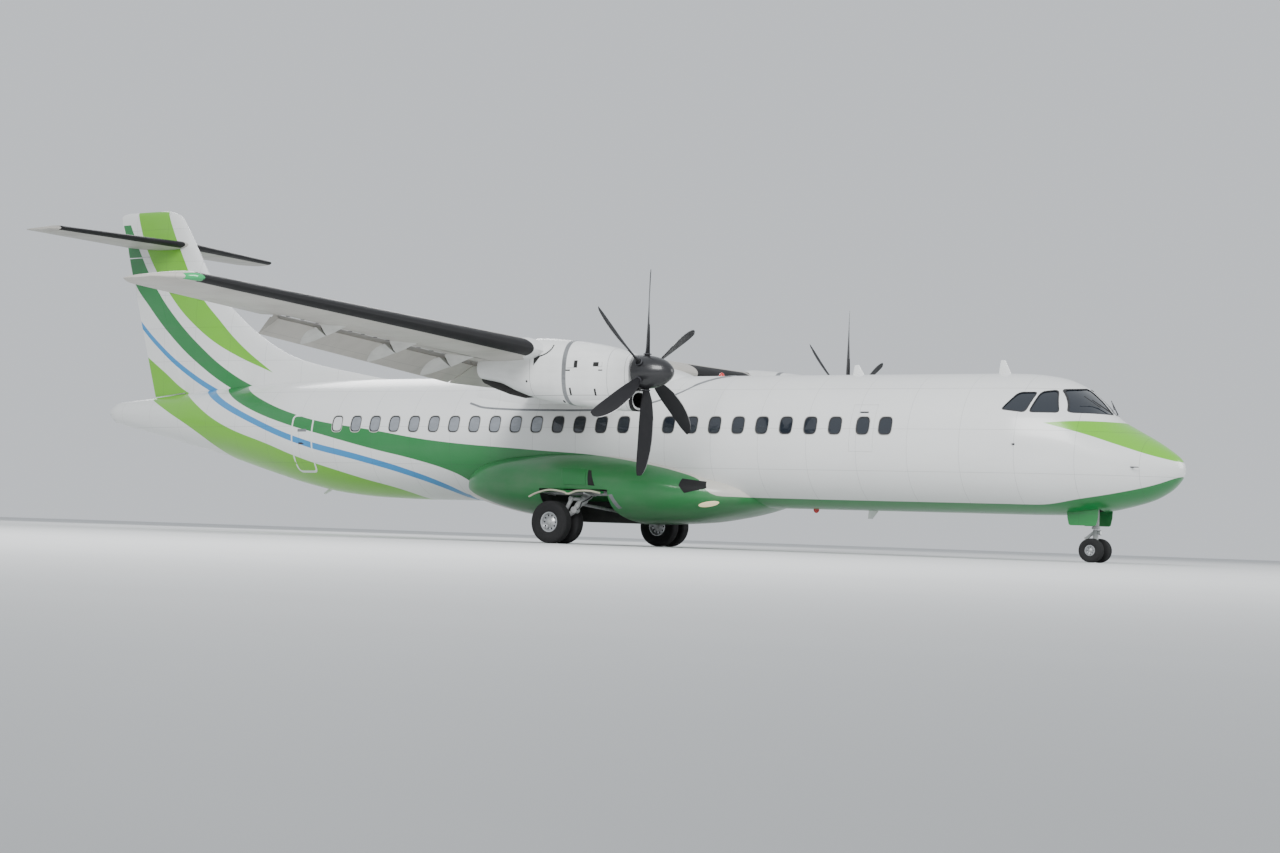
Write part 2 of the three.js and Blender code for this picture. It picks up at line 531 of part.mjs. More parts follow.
// Nacelles, engines and propellers, made on the left
function nacelle(wing) {
  const shell = ovals(NACELLE, 2.5, NACELLE_Y, 18);
  const stations = NACELLE.map((row) => row.s);
  const front = stations.filter((s) => s < COWL.rear);
  const rear = stations.filter((s) => s > COWL.rear);
  const chinRing = ovals(CHIN, 2.4, NACELLE_Y, 14);
  const chin = loft(CHIN.map(({ s }) => chinRing(s)));
  const outer = loft([...front, COWL.rear].map((s) => shell(s))).add(chin);
  const inside = [front[0] + COWL.wall, ...front.slice(1), COWL.rear + 10];
  const hollow = loft(inside.map((s) => shell(s, -COWL.wall)));
  const shaftHole = bar([9200, NACELLE_Y, PROP.z], [9500, NACELLE_Y, PROP.z], COWL.shaftHole, COWL.shaftHole, 12);
  const mouth = ovals(INTAKE, 2.2, NACELLE_Y, 12);
  const intake = loft(INTAKE.map(({ s }) => mouth(s)));
  const { s0, s1, half, z, rise, shaft, shaftFront } = ENGINE;
  const drum = (grow) => loft([s0 - grow, s1 + grow].map((s) =>
    ovalRing(s, { top: z + rise, bottom: z - rise, half }, 2, NACELLE_Y, 16, grow)));
  const tail = loft([COWL.rear + FIT, ...rear].map((s) => shell(s)));
  return {
    nacelle_cowl: largest(outer.subtract(hollow).subtract(shaftHole).subtract(intake)),
    nacelle_rear: largest(tail.subtract(wing).subtract(drum(FIT))),
    engine: drum(0).add(bar([shaftFront, NACELLE_Y, PROP.z], [s0 + 20, NACELLE_Y, PROP.z], shaft)),
  };
}

// A propeller and its spinner about their own centre; seen from behind they turn clockwise
function propeller() {
  const at = (s) => NOSE_X + s - PROP.s;
  const blade = loft(BLADE.map(({ r, chord, thick, angle, sweep }) => {
    const lead = vec(Math.sin(rad(angle)), -Math.cos(rad(angle)), 0);
    const face = vec(Math.cos(rad(angle)), Math.sin(rad(angle)), 0);
    return circle(8, (t) => vec(0, 0, r).addScaledVector(lead, (Math.cos(t) * chord) / 2 + sweep)
      .addScaledVector(face, (Math.sin(t) * thick) / 2));
  }));
  const hub = bar([at(PROP.hubFront), 0, 0], [at(PROP.hubRear), 0, 0], PROP.hub, PROP.hub, 16);
  const blades = circle(PROP.blades, (t) => moved(blade, new THREE.Matrix4().makeRotationX(t)));
  const socket = new THREE.CylinderGeometry(PROP.root + 3, PROP.root + 3, 400, 10).rotateX(Math.PI / 2).translate(0, 0, 300);
  const sockets = circle(PROP.blades, (t) => solid(socket, new THREE.Matrix4().makeRotationX(t)));
  const bore = bar([at(PROP.hubFront) - FIT, 0, 0], [at(PROP.hubRear) + 100, 0, 0], PROP.hub + FIT, PROP.hub + FIT, 16);
  const dome = new THREE.LatheGeometry(SPINNER.map(([s, r]) => new THREE.Vector2(r, PROP.s - s)), 20);
  return {
    propeller: join([hub, ...blades]),
    spinner: solid(dome, new THREE.Matrix4().makeRotationZ(-Math.PI / 2)).subtract(join([bore, ...sockets])),
  };
}

// Tail surfaces
function finFrame(z) {
  const t = (z - FIN.z0) / (FIN.z1 - FIN.z0);
  return {
    origin: vec(aft(FIN.le0 + (FIN.le1 - FIN.le0) * t), 0, z), aft: vec(-1, 0, 0), up: vec(0, 1, 0),
    chord: FIN.chord0 + (FIN.chord1 - FIN.chord0) * t, thick: FIN.thick,
  };
}

function tailFrame(y) {
  const t = Math.abs(y) / TAIL.endY;
  const beyond = Math.max(0, (Math.abs(y) - TAIL.tipY) / (TAIL.endY - TAIL.tipY));
  const chord = TAIL.chord + (TAIL.tipChord - TAIL.chord) * t;
  return {
    origin: vec(aft(TAIL.le + (TAIL.tipLe - TAIL.le) * t + beyond * 0.3 * chord), y, TAIL.z),
    aft: vec(-1, 0, 0), up: vec(0, 0, 1), chord: chord * (1 - 0.38 * beyond), thick: TAIL.thick * (1 - 0.45 * beyond),
  };
}

function tail() {
  const { endY, tipY } = TAIL;
  const full = (grow = 0) => loft([-endY, -tipY, 0, tipY, endY].map((y) => airfoil(tailFrame(y), grow)));
  const left = hinged(full(), tailFrame, ELEVATOR.hinge, ELEVATOR.span);
  const right = hinged(full(), tailFrame, ELEVATOR.hinge, ELEVATOR.span.map((y) => -y).reverse());
  const mainFin = loft([FIN.z0, FIN.z1].map((z) => airfoil(finFrame(z))));
  const dorsal = loft(DORSAL.map(({ s, top, half }) => {
    const shoulder = (DORSAL_BASE + 2 * top) / 3;
    return [[-half, DORSAL_BASE], [half, DORSAL_BASE], [half * 0.9, shoulder], [8, top], [-8, top], [-half * 0.9, shoulder]]
      .map(([y, z]) => vec(aft(s), y, z));
  }));
  const finParts = hinged(mainFin, finFrame, RUDDER.hinge, RUDDER.span, RUDDER.endGap);
  const tip = loft(FIN_TIP.map(({ z, le, te, thick }) => airfoil(
    { origin: vec(aft(le), 0, z), aft: vec(-1, 0, 0), up: vec(0, 1, 0), chord: te - le, thick })));
  const [rearFrom, rearTo] = [SECTIONS.rear_fuselage[0], LENGTH];
  return {
    tailplane: left.fixed.intersect(right.fixed),
    elevator_left: left.moving,
    elevator_right: mirrored(left.moving),
    rudder: largest(finParts.moving.subtract(skin(rearFrom, rearTo, RUDDER.over))),
    fin: largest(finParts.fixed.add(dorsal).subtract(skin(rearFrom, rearTo, FIT)).subtract(full(FIT))),
    fin_tip: largest(tip.subtract(full(FIT))),
  };
}

// Landing gear
function bellyFairing(grow = 0) {
  const ring = ovals(GEAR_FAIRING, 2.5, 0, 24);
  return loft(GEAR_FAIRING.map(({ s }) => ring(s, grow)));
}

function tyre({ radius, width, rim }) {
  const w = width / 2;
  const half = [[radius, w * 0.6], [(rim + radius) / 2 + width * 0.1, w], [rim, w * 0.72]];
  const profile = [...half, ...half.map(([r, y]) => [r, -y]).reverse(), half[0]];
  return solid(new THREE.LatheGeometry(profile.map(([r, y]) => new THREE.Vector2(r, y)), WHEEL_SIDES));
}

// A pair of rims on their turning axle, each dished on its outer side
function wheelPair({ spacing, width, rim, axle }) {
  const w = width * 0.36;
  const profile = [[0, -w * 0.5], [rim * 0.78, -w * 0.9], [rim - FIT, -w], [rim - FIT, w], [rim * 0.84, w],
    [rim * 0.74, w * 0.45], [rim * 0.3, w * 0.85], [0, w * 0.85]];
  const drum = solid(new THREE.LatheGeometry(profile.map(([r, y]) => new THREE.Vector2(r, y)), WHEEL_SIDES),
    new THREE.Matrix4().makeTranslation(0, spacing / 2, 0));
  return join([drum, mirrored(drum), solid(new THREE.CylinderGeometry(axle, axle, spacing, 12))]);
}

function mainLeg() {
  const { pintle, knee, pivot, shockArm, shockTop, shockFoot, brace, braceEnd } = MAIN_LEG;
  const across = ([s, y, z], half, r) => bar([s, y - half, z], [s, y + half, z], r, r, 12);
  const axle = [MAIN.s, MAIN.y, MAIN.radius];
  return join([
    bar([WHEEL_BAY.s0 + FIT, pintle[1], pintle[2]], [WHEEL_BAY.s1 - FIT, pintle[1], pintle[2]], 55),
    bar(pintle, knee, 85, 70), bar(knee, pivot, 70, 62), bar(pivot, axle, 62, 55),
    bar(shockArm, shockTop, 42), bar(shockTop, shockFoot, 42, 34), bar(brace, braceEnd, 32),
    across(pivot, 75, 70), across(axle, 60, MAIN.bearing),
  ]).subtract(across(axle, 90, MAIN.axle + 6));
}

function gearDoor() {
  const { y: rootY, z: rootZ, thick } = GEAR_DOOR_ROOT;
  const panel = loft(GEAR_DOOR.map(({ s, y, z, arch }) => {
    const upper = [[rootY, rootZ], [(1950 + y) / 2, (rootZ + z) / 2 + arch], [y, z]];
    return [...upper, ...upper.map(([py, pz]) => [py, pz - thick]).reverse()].map(([py, pz]) => vec(aft(s), py, pz));
  }));
  return largest(panel.subtract(bellyFairing(3)));
}

function noseGear() {
  const { s } = NOSE;
  const { radius, bottom, rod, bore, boreTop, collar, pinZ } = NOSE_LEG;
  const upright = (z0, z1, r) => bar([s, 0, z0], [s, 0, z1], r, r, 12);
  const across = (half, r, z = NOSE.radius) => bar([s, -half, z], [s, half, z], r, r, 12);
  const top = bottom - RUN;
  const link = sidePrism([[s + 20, top - 10], [s + 190, 470], [s + 190, 430], [s + 20, 280], [s + 20, 330],
    [s + 140, 450], [s + 20, top - 60]], -30, 30);
  return {
    nose_leg: join([upright(bottom, NOSE_BAY.top - FIT, radius), across(NOSE_BAY.half - FIT, 40, pinZ),
      bar([s, 0, 900], [NOSE_BAY.s1 - 25, 0, 1245], 28)]).subtract(upright(bottom - 10, boreTop, bore)),
    nose_steering: join([upright(NOSE.radius, boreTop - 20, rod), upright(300, top, collar),
      across(55, NOSE.bearing), link]).subtract(across(90, NOSE.axle + 6)),
  };
}

function noseDoor() {
  const { s0, s1, half } = NOSE_BAY;
  const outline = [[s0 + 20, 1010], [s1 - 20, 960], [s1 - 60, 680], [s0 + 60, 680]];
  return sidePrism(outline, half + 14, half + 34).subtract(skin(...SECTIONS.cockpit_section, FIT));
}

// The scene graph
const aircraft = new THREE.Group();

function add(name, shape, colour, parent = aircraft) {
  const [color, roughness, metalness] = COLOURS[colour];
  const mesh = new THREE.Mesh(geometryOf(shape), new THREE.MeshStandardMaterial({ color, roughness, metalness }));
  mesh.name = name;
  parent.add(mesh);
  return mesh;
}

function addPair(name, shape, colour) {
  add(name + "_left", shape, colour);
  add(name + "_right", mirrored(shape), colour);
}

function groupAt(s, y, z) {
  const group = new THREE.Group();
  group.position.set(aft(s), y, z);
  aircraft.add(group);
  return group;
}

const { made: wingPieces, envelope: wingEnvelope } = wings();
const { glass, cut: glassCut } = cockpitGlass();
const doorways = (...names) => names.map((name) => doorway(DOORS[name]));
const sectionCuts = {
  radome: [],
  cockpit_section: [glassCut, block(NOSE_BAY.s0, NOSE_BAY.s1, -NOSE_BAY.half, NOSE_BAY.half, 500, NOSE_BAY.top)],
  forward_fuselage: [cabinSpace(HOLD), ...doorways("cargo_door", "emergency_exit_left", "emergency_exit_right")],
  centre_fuselage: [wingEnvelope],
  rear_fuselage: [cabinSpace(VESTIBULE), tailHollow(), ...doorways("passenger_door", "service_door"),
    aboutHinge(DOORS.passenger_door, DOORS.passenger_door.swing.relief, 24)],
  tail_cone: [tailHollow()],
};
for (const [name, [s0, s1]] of Object.entries(SECTIONS)) {
  const whole = skin(s0, s1 === LENGTH ? s1 : s1 - FIT);
  add(name, sectionCuts[name].reduce((shape, cut) => shape.subtract(cut), whole), "white");
}
for (const [name, d] of Object.entries(DOORS)) add(name, doorPanel(d), "white");
add("cockpit_glazing", glass, "glass");

add("wing_centre", wingPieces.wing_centre, "grey");
add("wing_fairing", wingFairing(wingEnvelope, skin(...SECTIONS.centre_fuselage, FIT)), "white");
for (const name of ["wing_outer", "flap_inner", "flap_outer", "aileron"]) addPair(name, wingPieces[name], "grey");

const engineSide = nacelle(wingEnvelope);
addPair("nacelle_cowl", engineSide.nacelle_cowl, "white");
addPair("nacelle_rear", engineSide.nacelle_rear, "white");
addPair("engine", engineSide.engine, "dark_metal");
const rotor = propeller();
for (const [side, y] of [["left", NACELLE_Y], ["right", -NACELLE_Y]]) {
  const centre = groupAt(PROP.s, y, PROP.z);
  add("propeller_" + side, rotor.propeller, "black", centre);
  add("spinner_" + side, rotor.spinner, "black", centre);
}

for (const [name, shape] of Object.entries(tail())) add(name, shape, "white");

const bay = block(WHEEL_BAY.s0, WHEEL_BAY.s1, WHEEL_BAY.y0, 2300, 200, WHEEL_BAY.z1);
const belly = bellyFairing().subtract(skin(3700, 17300, FIT)).subtract(bay).subtract(mirrored(bay));
add("belly_fairing", largest(belly), "green");
addPair("main_leg", mainLeg(), "metal");
addPair("main_gear_door", gearDoor(), "green");
for (const [name, shape] of Object.entries(noseGear())) add(name, shape, "metal");
addPair("nose_gear_door", noseDoor(), "green");

// Wheels: the pair's name, its sizes, its place across and the names of its tyres from right to left
const WHEELS = [
  ["main_left", MAIN, MAIN.y, ["inner", "outer"]], ["main_right", MAIN, -MAIN.y, ["outer", "inner"]],
  ["nose", NOSE, 0, ["right", "left"]],
];
for (const [name, size, y, tyres] of WHEELS) {
  const centre = groupAt(size.s, y, size.radius);
  add(name + "_wheels", wheelPair(size), "metal", centre);
  tyres.forEach((place, i) => {
    add(`${name}_tyre_${place}`, tyre(size), "tyre", centre).position.y = size.spacing * (i - 0.5);
  });
}

export default aircraft;
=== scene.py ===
"""A twin turboprop airliner with a high wing and a T-tail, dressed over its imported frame.

Sizes are in metres. A station s is a distance aft of the nose tip, y is positive to the left side,
and z is the height above the ground.
"""

import logging
from dataclasses import dataclass, field
from enum import Enum
from math import ceil, copysign, cos, hypot, pi, radians, sin, sqrt
from typing import Any, Callable, NamedTuple, Sequence

import bmesh
import bpy
from mathutils import Matrix, Vector


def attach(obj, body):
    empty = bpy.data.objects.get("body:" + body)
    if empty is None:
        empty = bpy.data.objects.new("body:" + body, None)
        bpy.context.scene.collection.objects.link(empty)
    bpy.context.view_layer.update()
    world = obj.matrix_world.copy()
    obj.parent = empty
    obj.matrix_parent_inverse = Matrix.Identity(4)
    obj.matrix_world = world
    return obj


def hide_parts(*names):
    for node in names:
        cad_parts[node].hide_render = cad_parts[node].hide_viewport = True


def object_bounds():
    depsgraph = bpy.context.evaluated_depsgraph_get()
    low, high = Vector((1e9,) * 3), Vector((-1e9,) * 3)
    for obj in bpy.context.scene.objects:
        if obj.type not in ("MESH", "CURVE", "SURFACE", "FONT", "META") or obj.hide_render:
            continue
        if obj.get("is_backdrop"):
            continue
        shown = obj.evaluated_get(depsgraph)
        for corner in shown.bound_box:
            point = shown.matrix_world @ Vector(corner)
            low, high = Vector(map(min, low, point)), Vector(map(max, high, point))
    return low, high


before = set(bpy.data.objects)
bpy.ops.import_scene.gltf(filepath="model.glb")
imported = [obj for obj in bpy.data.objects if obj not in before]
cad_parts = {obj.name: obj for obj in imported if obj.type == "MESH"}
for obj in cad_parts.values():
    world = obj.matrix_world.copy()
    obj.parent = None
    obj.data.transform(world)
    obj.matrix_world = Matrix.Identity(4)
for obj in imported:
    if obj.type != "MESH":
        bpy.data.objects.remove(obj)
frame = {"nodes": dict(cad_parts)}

Piece = bpy.types.Object
Socket = bpy.types.NodeSocket
Line = tuple[tuple[float, float], ...]
Rows = tuple[tuple[float, ...], ...]
Points = Sequence[tuple[float, float]]
Outline = list[tuple[float, float]]
Place = Callable[[float, float, float], Vector]

LOG = logging.getLogger("airliner")
CAD_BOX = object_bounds()
LENGTH = 27.166
NOSE_X = LENGTH / 2
SKIN_SIDES = 96
FOIL_STEPS = 22
FOIL_EDGE = 0.001
WHEEL_SIDES = 72
SEAM = 0.008
SIDES = (("left", 1), ("right", -1))
AFT = Vector((-1, 0, 0))
FORWARD = Vector((1, 0, 0))
LEFT = Vector((0, 1, 0))
UP = Vector((0, 0, 1))
FIT = 0.0005


class Operation(Enum):
    """How one solid is combined with another."""

    JOIN = "UNION"
    CUT = "DIFFERENCE"
    KEEP = "INTERSECT"


class Section(NamedTuple):
    """A fuselage section: heights of crown, keel and widest point, half width, lower curve's power."""

    s: float
    crown: float
    keel: float
    waist: float
    half: float
    power: float


class Oval(NamedTuple):
    """A section of a nacelle, intake or fairing: top, bottom and half width."""

    s: float
    top: float
    bottom: float
    half: float


FUSELAGE = (
    Section(0.0, 1.83, 1.67, 1.75, 0.08, 2.0), Section(0.07, 1.945, 1.54, 1.745, 0.215, 2.0),
    Section(0.26, 2.095, 1.35, 1.742, 0.415, 2.0), Section(0.58, 2.295, 1.175, 1.76, 0.63, 2.0),
    Section(0.9, 2.465, 1.075, 1.795, 0.795, 2.05), Section(1.32, 2.705, 0.975, 1.855, 0.975, 2.1),
    Section(1.63, 3.03, 0.925, 1.9, 1.085, 2.1), Section(1.94, 3.265, 0.89, 1.95, 1.185, 2.15),
    Section(2.4, 3.445, 0.866, 2.02, 1.305, 2.2), Section(3.0, 3.522, 0.86, 2.085, 1.4, 2.2),
    Section(3.7, 3.54, 0.86, 2.107, 1.4325, 2.2), Section(17.3, 3.54, 0.86, 2.107, 1.4325, 2.2),
    Section(18.5, 3.538, 0.882, 2.13, 1.415, 2.2), Section(19.5, 3.528, 0.95, 2.19, 1.365, 2.2),
    Section(20.5, 3.506, 1.105, 2.28, 1.285, 2.15), Section(21.8, 3.455, 1.4, 2.41, 1.12, 2.1),
    Section(23.2, 3.37, 1.745, 2.55, 0.89, 2.05), Section(24.6, 3.245, 2.035, 2.65, 0.64, 2.0),
    Section(25.8, 3.12, 2.285, 2.715, 0.43, 2.0), Section(26.85, 3.02, 2.5, 2.765, 0.265, 2.0),
    Section(27.09, 2.965, 2.56, 2.765, 0.205, 2.0), Section(LENGTH, 2.86, 2.67, 2.765, 0.095, 2.0),
)


def smooth(table: Sequence[Any], name: str, s: float) -> float:
    """Reads a table's column along a curve that never overshoots.

    Args:
        table: Rows with a station s, in order.
        name: The column.
        s: The station to read at.

    Returns:
        The column's value there.
    """
    if s <= table[0].s:
        return getattr(table[0], name)
    if s >= table[-1].s:
        return getattr(table[-1], name)
    i = max(n for n, row in enumerate(table) if row.s <= s)
    value = [getattr(row, name) for row in table]
    rises = [(b - a) / (q.s - p.s) for a, b, p, q in zip(value, value[1:], table, table[1:])]

    def slope(n: int) -> float:
        """The curve's slope at row n."""
        if n in (0, len(rises)):
            return rises[min(n, len(rises) - 1)]
        before, after = rises[n - 1], rises[n]
        return 0.0 if before * after <= 0 else 2 * before * after / (before + after)

    step = table[i + 1].s - table[i].s
    t, m0, m1 = (s - table[i].s) / step, slope(i) * step, slope(i + 1) * step
    start, end = (2 * t**3 - 3 * t**2 + 1) * value[i], (3 * t**2 - 2 * t**3) * value[i + 1]
    return start + (t**3 - 2 * t**2 + t) * m0 + end + (t**3 - t**2) * m1


def at(s: float, y: float, z: float) -> Vector:
    """The point at a station, a distance to the left and a height."""
    return Vector((NOSE_X - s, y, z))


def steps(start: float, end: float, spacing: float) -> list[float]:
    """Evenly spaced values from start to end, about spacing apart."""
    count = max(1, ceil(abs(end - start) / spacing))
    return [start + (end - start) * i / count for i in range(count + 1)]


def bend(value: float, power: float) -> float:
    """A cosine or sine pushed outwards, so that an oval grows squarer with the power."""
    return copysign(abs(value) ** (2 / power), value)


def turn(count: int, part: Callable[[float], Any]) -> list[Any]:
    """Points all the way round, each worked out from its angle."""
    return [part(2 * pi * i / count) for i in range(count)]


def hoop(s: float, y: float, z: float, radius: float, sides: int) -> list[Vector]:
    """A circle about a line that runs along the aircraft."""
    return turn(sides, lambda t: at(s, y + radius * cos(t), z + radius * sin(t)))


def curved(a: Any, b: Any, c: Any, d: Any, t: float) -> Any:
    """The value on a smooth curve, a share t of the way from b to c; a and d are the neighbours."""
    bends = (2 * a - 5 * b + 4 * c - d) * t**2 + (3 * b - a - 3 * c + d) * t**3
    return 0.5 * (2 * b + (c - a) * t + bends)


def mixed(a: float, b: float, share: float) -> float:
    """The value a share of the way from a to b."""
    return a + (b - a) * share


def skin_ring(s: float, grow: float = 0.0) -> list[Vector]:
    """The fuselage's outline at a station, grown outwards by a distance."""
    crown, keel, waist, half, power = (smooth(FUSELAGE, name, s) for name in Section._fields[1:])

    def point(angle: float) -> Vector:
        """The outline's point at an angle."""
        rise = (crown - waist if sin(angle) > 0 else waist - keel) + grow
        n = 2.0 if sin(angle) > 0 else power
        return at(s, bend(cos(angle), n) * (half + grow), waist + bend(sin(angle), n) * rise)

    return turn(SKIN_SIDES, point)


def skin_y(s: float, z: float) -> float:
    """The fuselage's half width at a station and height."""
    crown, keel, waist, half, power = (smooth(FUSELAGE, name, s) for name in Section._fields[1:])
    n = 2.0 if z > waist else power
    t = min(abs(z - waist) / (crown - waist if z > waist else waist - keel), 1.0)
    return half * (1 - t**n) ** (1 / n)


def oval_ring(s: float, row: Oval, power: float, y: float, sides: int, grow: float = 0.0) -> list[Vector]:
    """An oval at a station, squarer as the power grows."""
    middle, rise = (row.top + row.bottom) / 2, (row.top - row.bottom) / 2 + grow
    return turn(sides, lambda t: at(s, y + bend(cos(t), power) * (row.half + grow),
                                    middle + bend(sin(t), power) * rise))


def oval_at(table: Sequence[Oval], s: float) -> Oval:
    """A table of ovals read at any station."""
    return Oval(s, *(smooth(table, name, s) for name in Oval._fields[1:]))


def ovals(*rows: tuple[float, float, float, float]) -> tuple[Oval, ...]:
    """A table of ovals from rows of station, top, bottom and half width."""
    return tuple(Oval(*row) for row in rows)


def linked(name: str, mesh: bpy.types.Mesh) -> Piece:
    """A mesh as an object of the scene."""
    piece = bpy.data.objects.new(name, mesh)
    bpy.context.scene.collection.objects.link(piece)
    return piece


def loft(name: str, rings: Sequence[Sequence[Vector]], around: bool = False) -> Piece:
    """A body through rings of equal point counts.

    Args:
        name: The object's name.
        rings: The outlines in order.
        around: Whether the last outline runs on into the first, instead of both being filled.

    Returns:
        The new object.
    """
    bm = bmesh.new()
    rows = [[bm.verts.new(p) for p in ring] for ring in rings]
    count = len(rows[0])
    for a, b in zip(rows, rows[1:] + (rows[:1] if around else [])):
        for j in range(count):
            bm.faces.new((a[j], a[(j + 1) % count], b[(j + 1) % count], b[j]))
    if not around:
        bm.faces.new(rows[0])
        bm.faces.new(rows[-1])
    bmesh.ops.recalc_face_normals(bm, faces=bm.faces)
    mesh = bpy.data.meshes.new(name)
    bm.to_mesh(mesh)
    bm.free()
    return linked(name, mesh)


def lifted(row: Oval, power: float, y: float, side: int, z: float, lift: float) -> Vector:
    """A point on the side of an oval body, lifted off it squarely.

    Args:
        row: The body's section there.
        power: How square the section is.
        y: The section's middle.
        side: Left is 1.
        z: The point's height.
        lift: How far it is lifted.

    Returns:
        The point.
    """
    middle, rise = (row.top + row.bottom) / 2, (row.top - row.bottom) / 2
    t = max(-0.999, min(0.999, (z - middle) / rise))
    out = (1 - abs(t) ** power) ** (1 / power)
    way = Vector((0, side * out ** (power - 1) / row.half, bend(t, 2 / (power - 1)) / rise)).normalized()
    return at(row.s, y + side * row.half * out, z) + way * lift


def plate(name: str, outline: Points, place: Place,
          proud: float, pieces: int = 6) -> Piece:
    """A thin plate that follows a curved skin.

    Args:
        name: The object's name.
        outline: Its corners as stations and heights.
        place: Gives the point at a station, a height and a lift.
        proud: How far it stands off the skin.
        pieces: How finely each edge is parted.

    Returns:
        The plate.
    """
    edge = [tuple(a + (b - a) * i / pieces for a, b in zip(p, q))
            for p, q in zip(outline, list(outline[1:]) + [outline[0]]) for i in range(pieces)]
    ms, mz = (sum(p[i] for p in edge) / len(edge) for i in (0, 1))
    flat = [(size, proud) for size in (0.98, 0.75, 0.5, 0.25, 0.01)]
    return loft(name, [[place(ms + (s - ms) * size, mz + (z - mz) * size, lift) for s, z in edge]
                       for size, lift in [(1.0, -0.02), (1.0, proud * 0.6), *flat]])


def round_outline(s: float, z: float, half_s: float, half_z: float, slant: float = 0.0) -> Outline:
    """A round or oval outline, slanted by a rise per metre aft."""
    return turn(24, lambda t: (s + cos(t) * half_s, z + sin(t) * half_z + cos(t) * half_s * slant))


def rounded(outline: Points, grow: float, corner: float = 0.07) -> Outline:
    """An outline grown outwards, with round corners."""
    middle = [sum(p[i] for p in outline) / len(outline) for i in (0, 1)]
    out = []
    for n, point in enumerate(outline):
        before, after = outline[n - 1], outline[(n + 1) % len(outline)]
        arm = [[q[i] - point[i] for i in (0, 1)] for q in (before, after)]
        size = [hypot(*a) for a in arm]
        a, b = ([point[i] + v[i] / length * corner for i in (0, 1)] for v, length in zip(arm, size))
        out += [tuple((1 - t)**2 * a[i] + 2 * t * (1 - t) * point[i] + t * t * b[i] for i in (0, 1))
                for t in (0, 0.25, 0.5, 0.75, 1)]
    grown = []
    for p in out:
        scale = 1 + grow / hypot(p[0] - middle[0], p[1] - middle[1])
        grown.append(tuple(middle[i] + (p[i] - middle[i]) * scale for i in (0, 1)))
    return grown


def block(s0: float, s1: float, y0: float, y1: float, z0: float, z1: float) -> Piece:
    """A cutter between two stations, two widths and two heights."""
    return prism("block", oblong(s0, s1, z0, z1), y0, y1)


def oblong(s0: float, s1: float, z0: float, z1: float) -> Line:
    """An outline with four square corners."""
    return (s0, z0), (s1, z0), (s1, z1), (s0, z1)


def prism(name: str, outline: Points, y0: float, y1: float) -> Piece:
    """A prism across the aircraft, from an outline of station and height."""
    return loft(name, [[at(s, y, z) for s, z in outline] for y in (y0, y1)])


def combine(piece: Piece, operation: Operation, *tools: Piece) -> Piece:
    """Combines a piece with tools, which are used up, and keeps the tools' own materials on the cut.

    Args:
        piece: The solid that is changed.
        operation: Join, cut or keep what is shared.
        tools: The solids to combine it with.

    Returns:
        The changed piece.
    """
    for tool in tools:
        change = piece.modifiers.new("combine", "BOOLEAN")
        change.object, change.operation, change.solver = tool, operation.value, "EXACT"
        change.material_mode = "TRANSFER"
    shape = piece.evaluated_get(bpy.context.evaluated_depsgraph_get())
    mesh = bpy.data.meshes.new_from_object(shape)
    piece.modifiers.clear()
    piece.data = mesh
    for tool in tools:
        bpy.data.objects.remove(tool)
    return piece


def cut(piece: Piece, *tools: Piece) -> Piece:
    """A piece without what it shares with the tools."""
    return combine(piece, Operation.CUT, *tools)


def merge(piece: Piece, *tools: Piece) -> Piece:
    """A piece as one solid with the tools."""
    return combine(piece, Operation.JOIN, *tools)


def keep(piece: Piece, *tools: Piece) -> Piece:
    """What a piece shares with the tools."""
    return combine(piece, Operation.KEEP, *tools)


def joined(name: str, parts: Sequence[Piece]) -> Piece:
    """Several shapes as one object, each keeping its own materials."""
    with bpy.context.temp_override(active_object=parts[0], selected_editable_objects=list(parts)):
        bpy.ops.object.join()
    parts[0].name = name
    return parts[0]


def mirrored(piece: Piece, name: str) -> Piece:
    """A copy of a piece on the other side of the middle plane."""
    mesh = piece.data.copy()
    mesh.transform(Matrix.Scale(-1, 4, (0, 1, 0)))
    mesh.flip_normals()
    return linked(name, mesh)


def painted(piece: Piece, finish: "Finish") -> Piece:
    """Gives a piece one finish."""
    piece.data.materials.clear()
    piece.data.materials.append(finish.material())
    return piece


def placed(piece: Piece, slot: str, *nodes: str, body: str = "airframe", angle: float = 32.0) -> Piece:
    """Smooths a finished piece, hides the frame's nodes that it stands for, and lets it ride on its body.

    Args:
        piece: The finished piece.
        slot: The record's material slot; not used.
        nodes: The nodes of the frame that it stands for.
        body: The body of the frame that carries it.
        angle: Edges sharper than this many degrees stay crisp.

    Returns:
        The piece.
    """
    piece.data.shade_smooth()
    piece.data.set_sharp_from_angle(angle=radians(angle))
    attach(piece, body)
    if nodes:
        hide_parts(*nodes)
    LOG.info("%s rides on %s", piece.name, body)
    return piece


def rod(a: Vector, b: Vector, r0: float, r1: float | None = None, sides: int = 24) -> Piece:
    """A round bar between two points, with a small bevel at each end."""
    r1 = r0 if r1 is None else r1
    axis = (b - a).normalized()
    u = axis.orthogonal().normalized()
    v = axis.cross(u)
    edge = min(r0, r1, (b - a).length / 2) * 0.12
    rows = ((a, r0 - edge), (a + axis * edge, r0), (b - axis * edge, r1), (b, r1 - edge))
    return loft("rod", [turn(sides, lambda t, c=c, r=r: c + (u * cos(t) + v * sin(t)) * r)
                        for c, r in rows])


def crossbar(middle: Vector, half: float, radius: float, sides: int = 24) -> Piece:
    """A round bar across the aircraft, through a point."""
    return rod(middle - LEFT * half, middle + LEFT * half, radius, sides=sides)


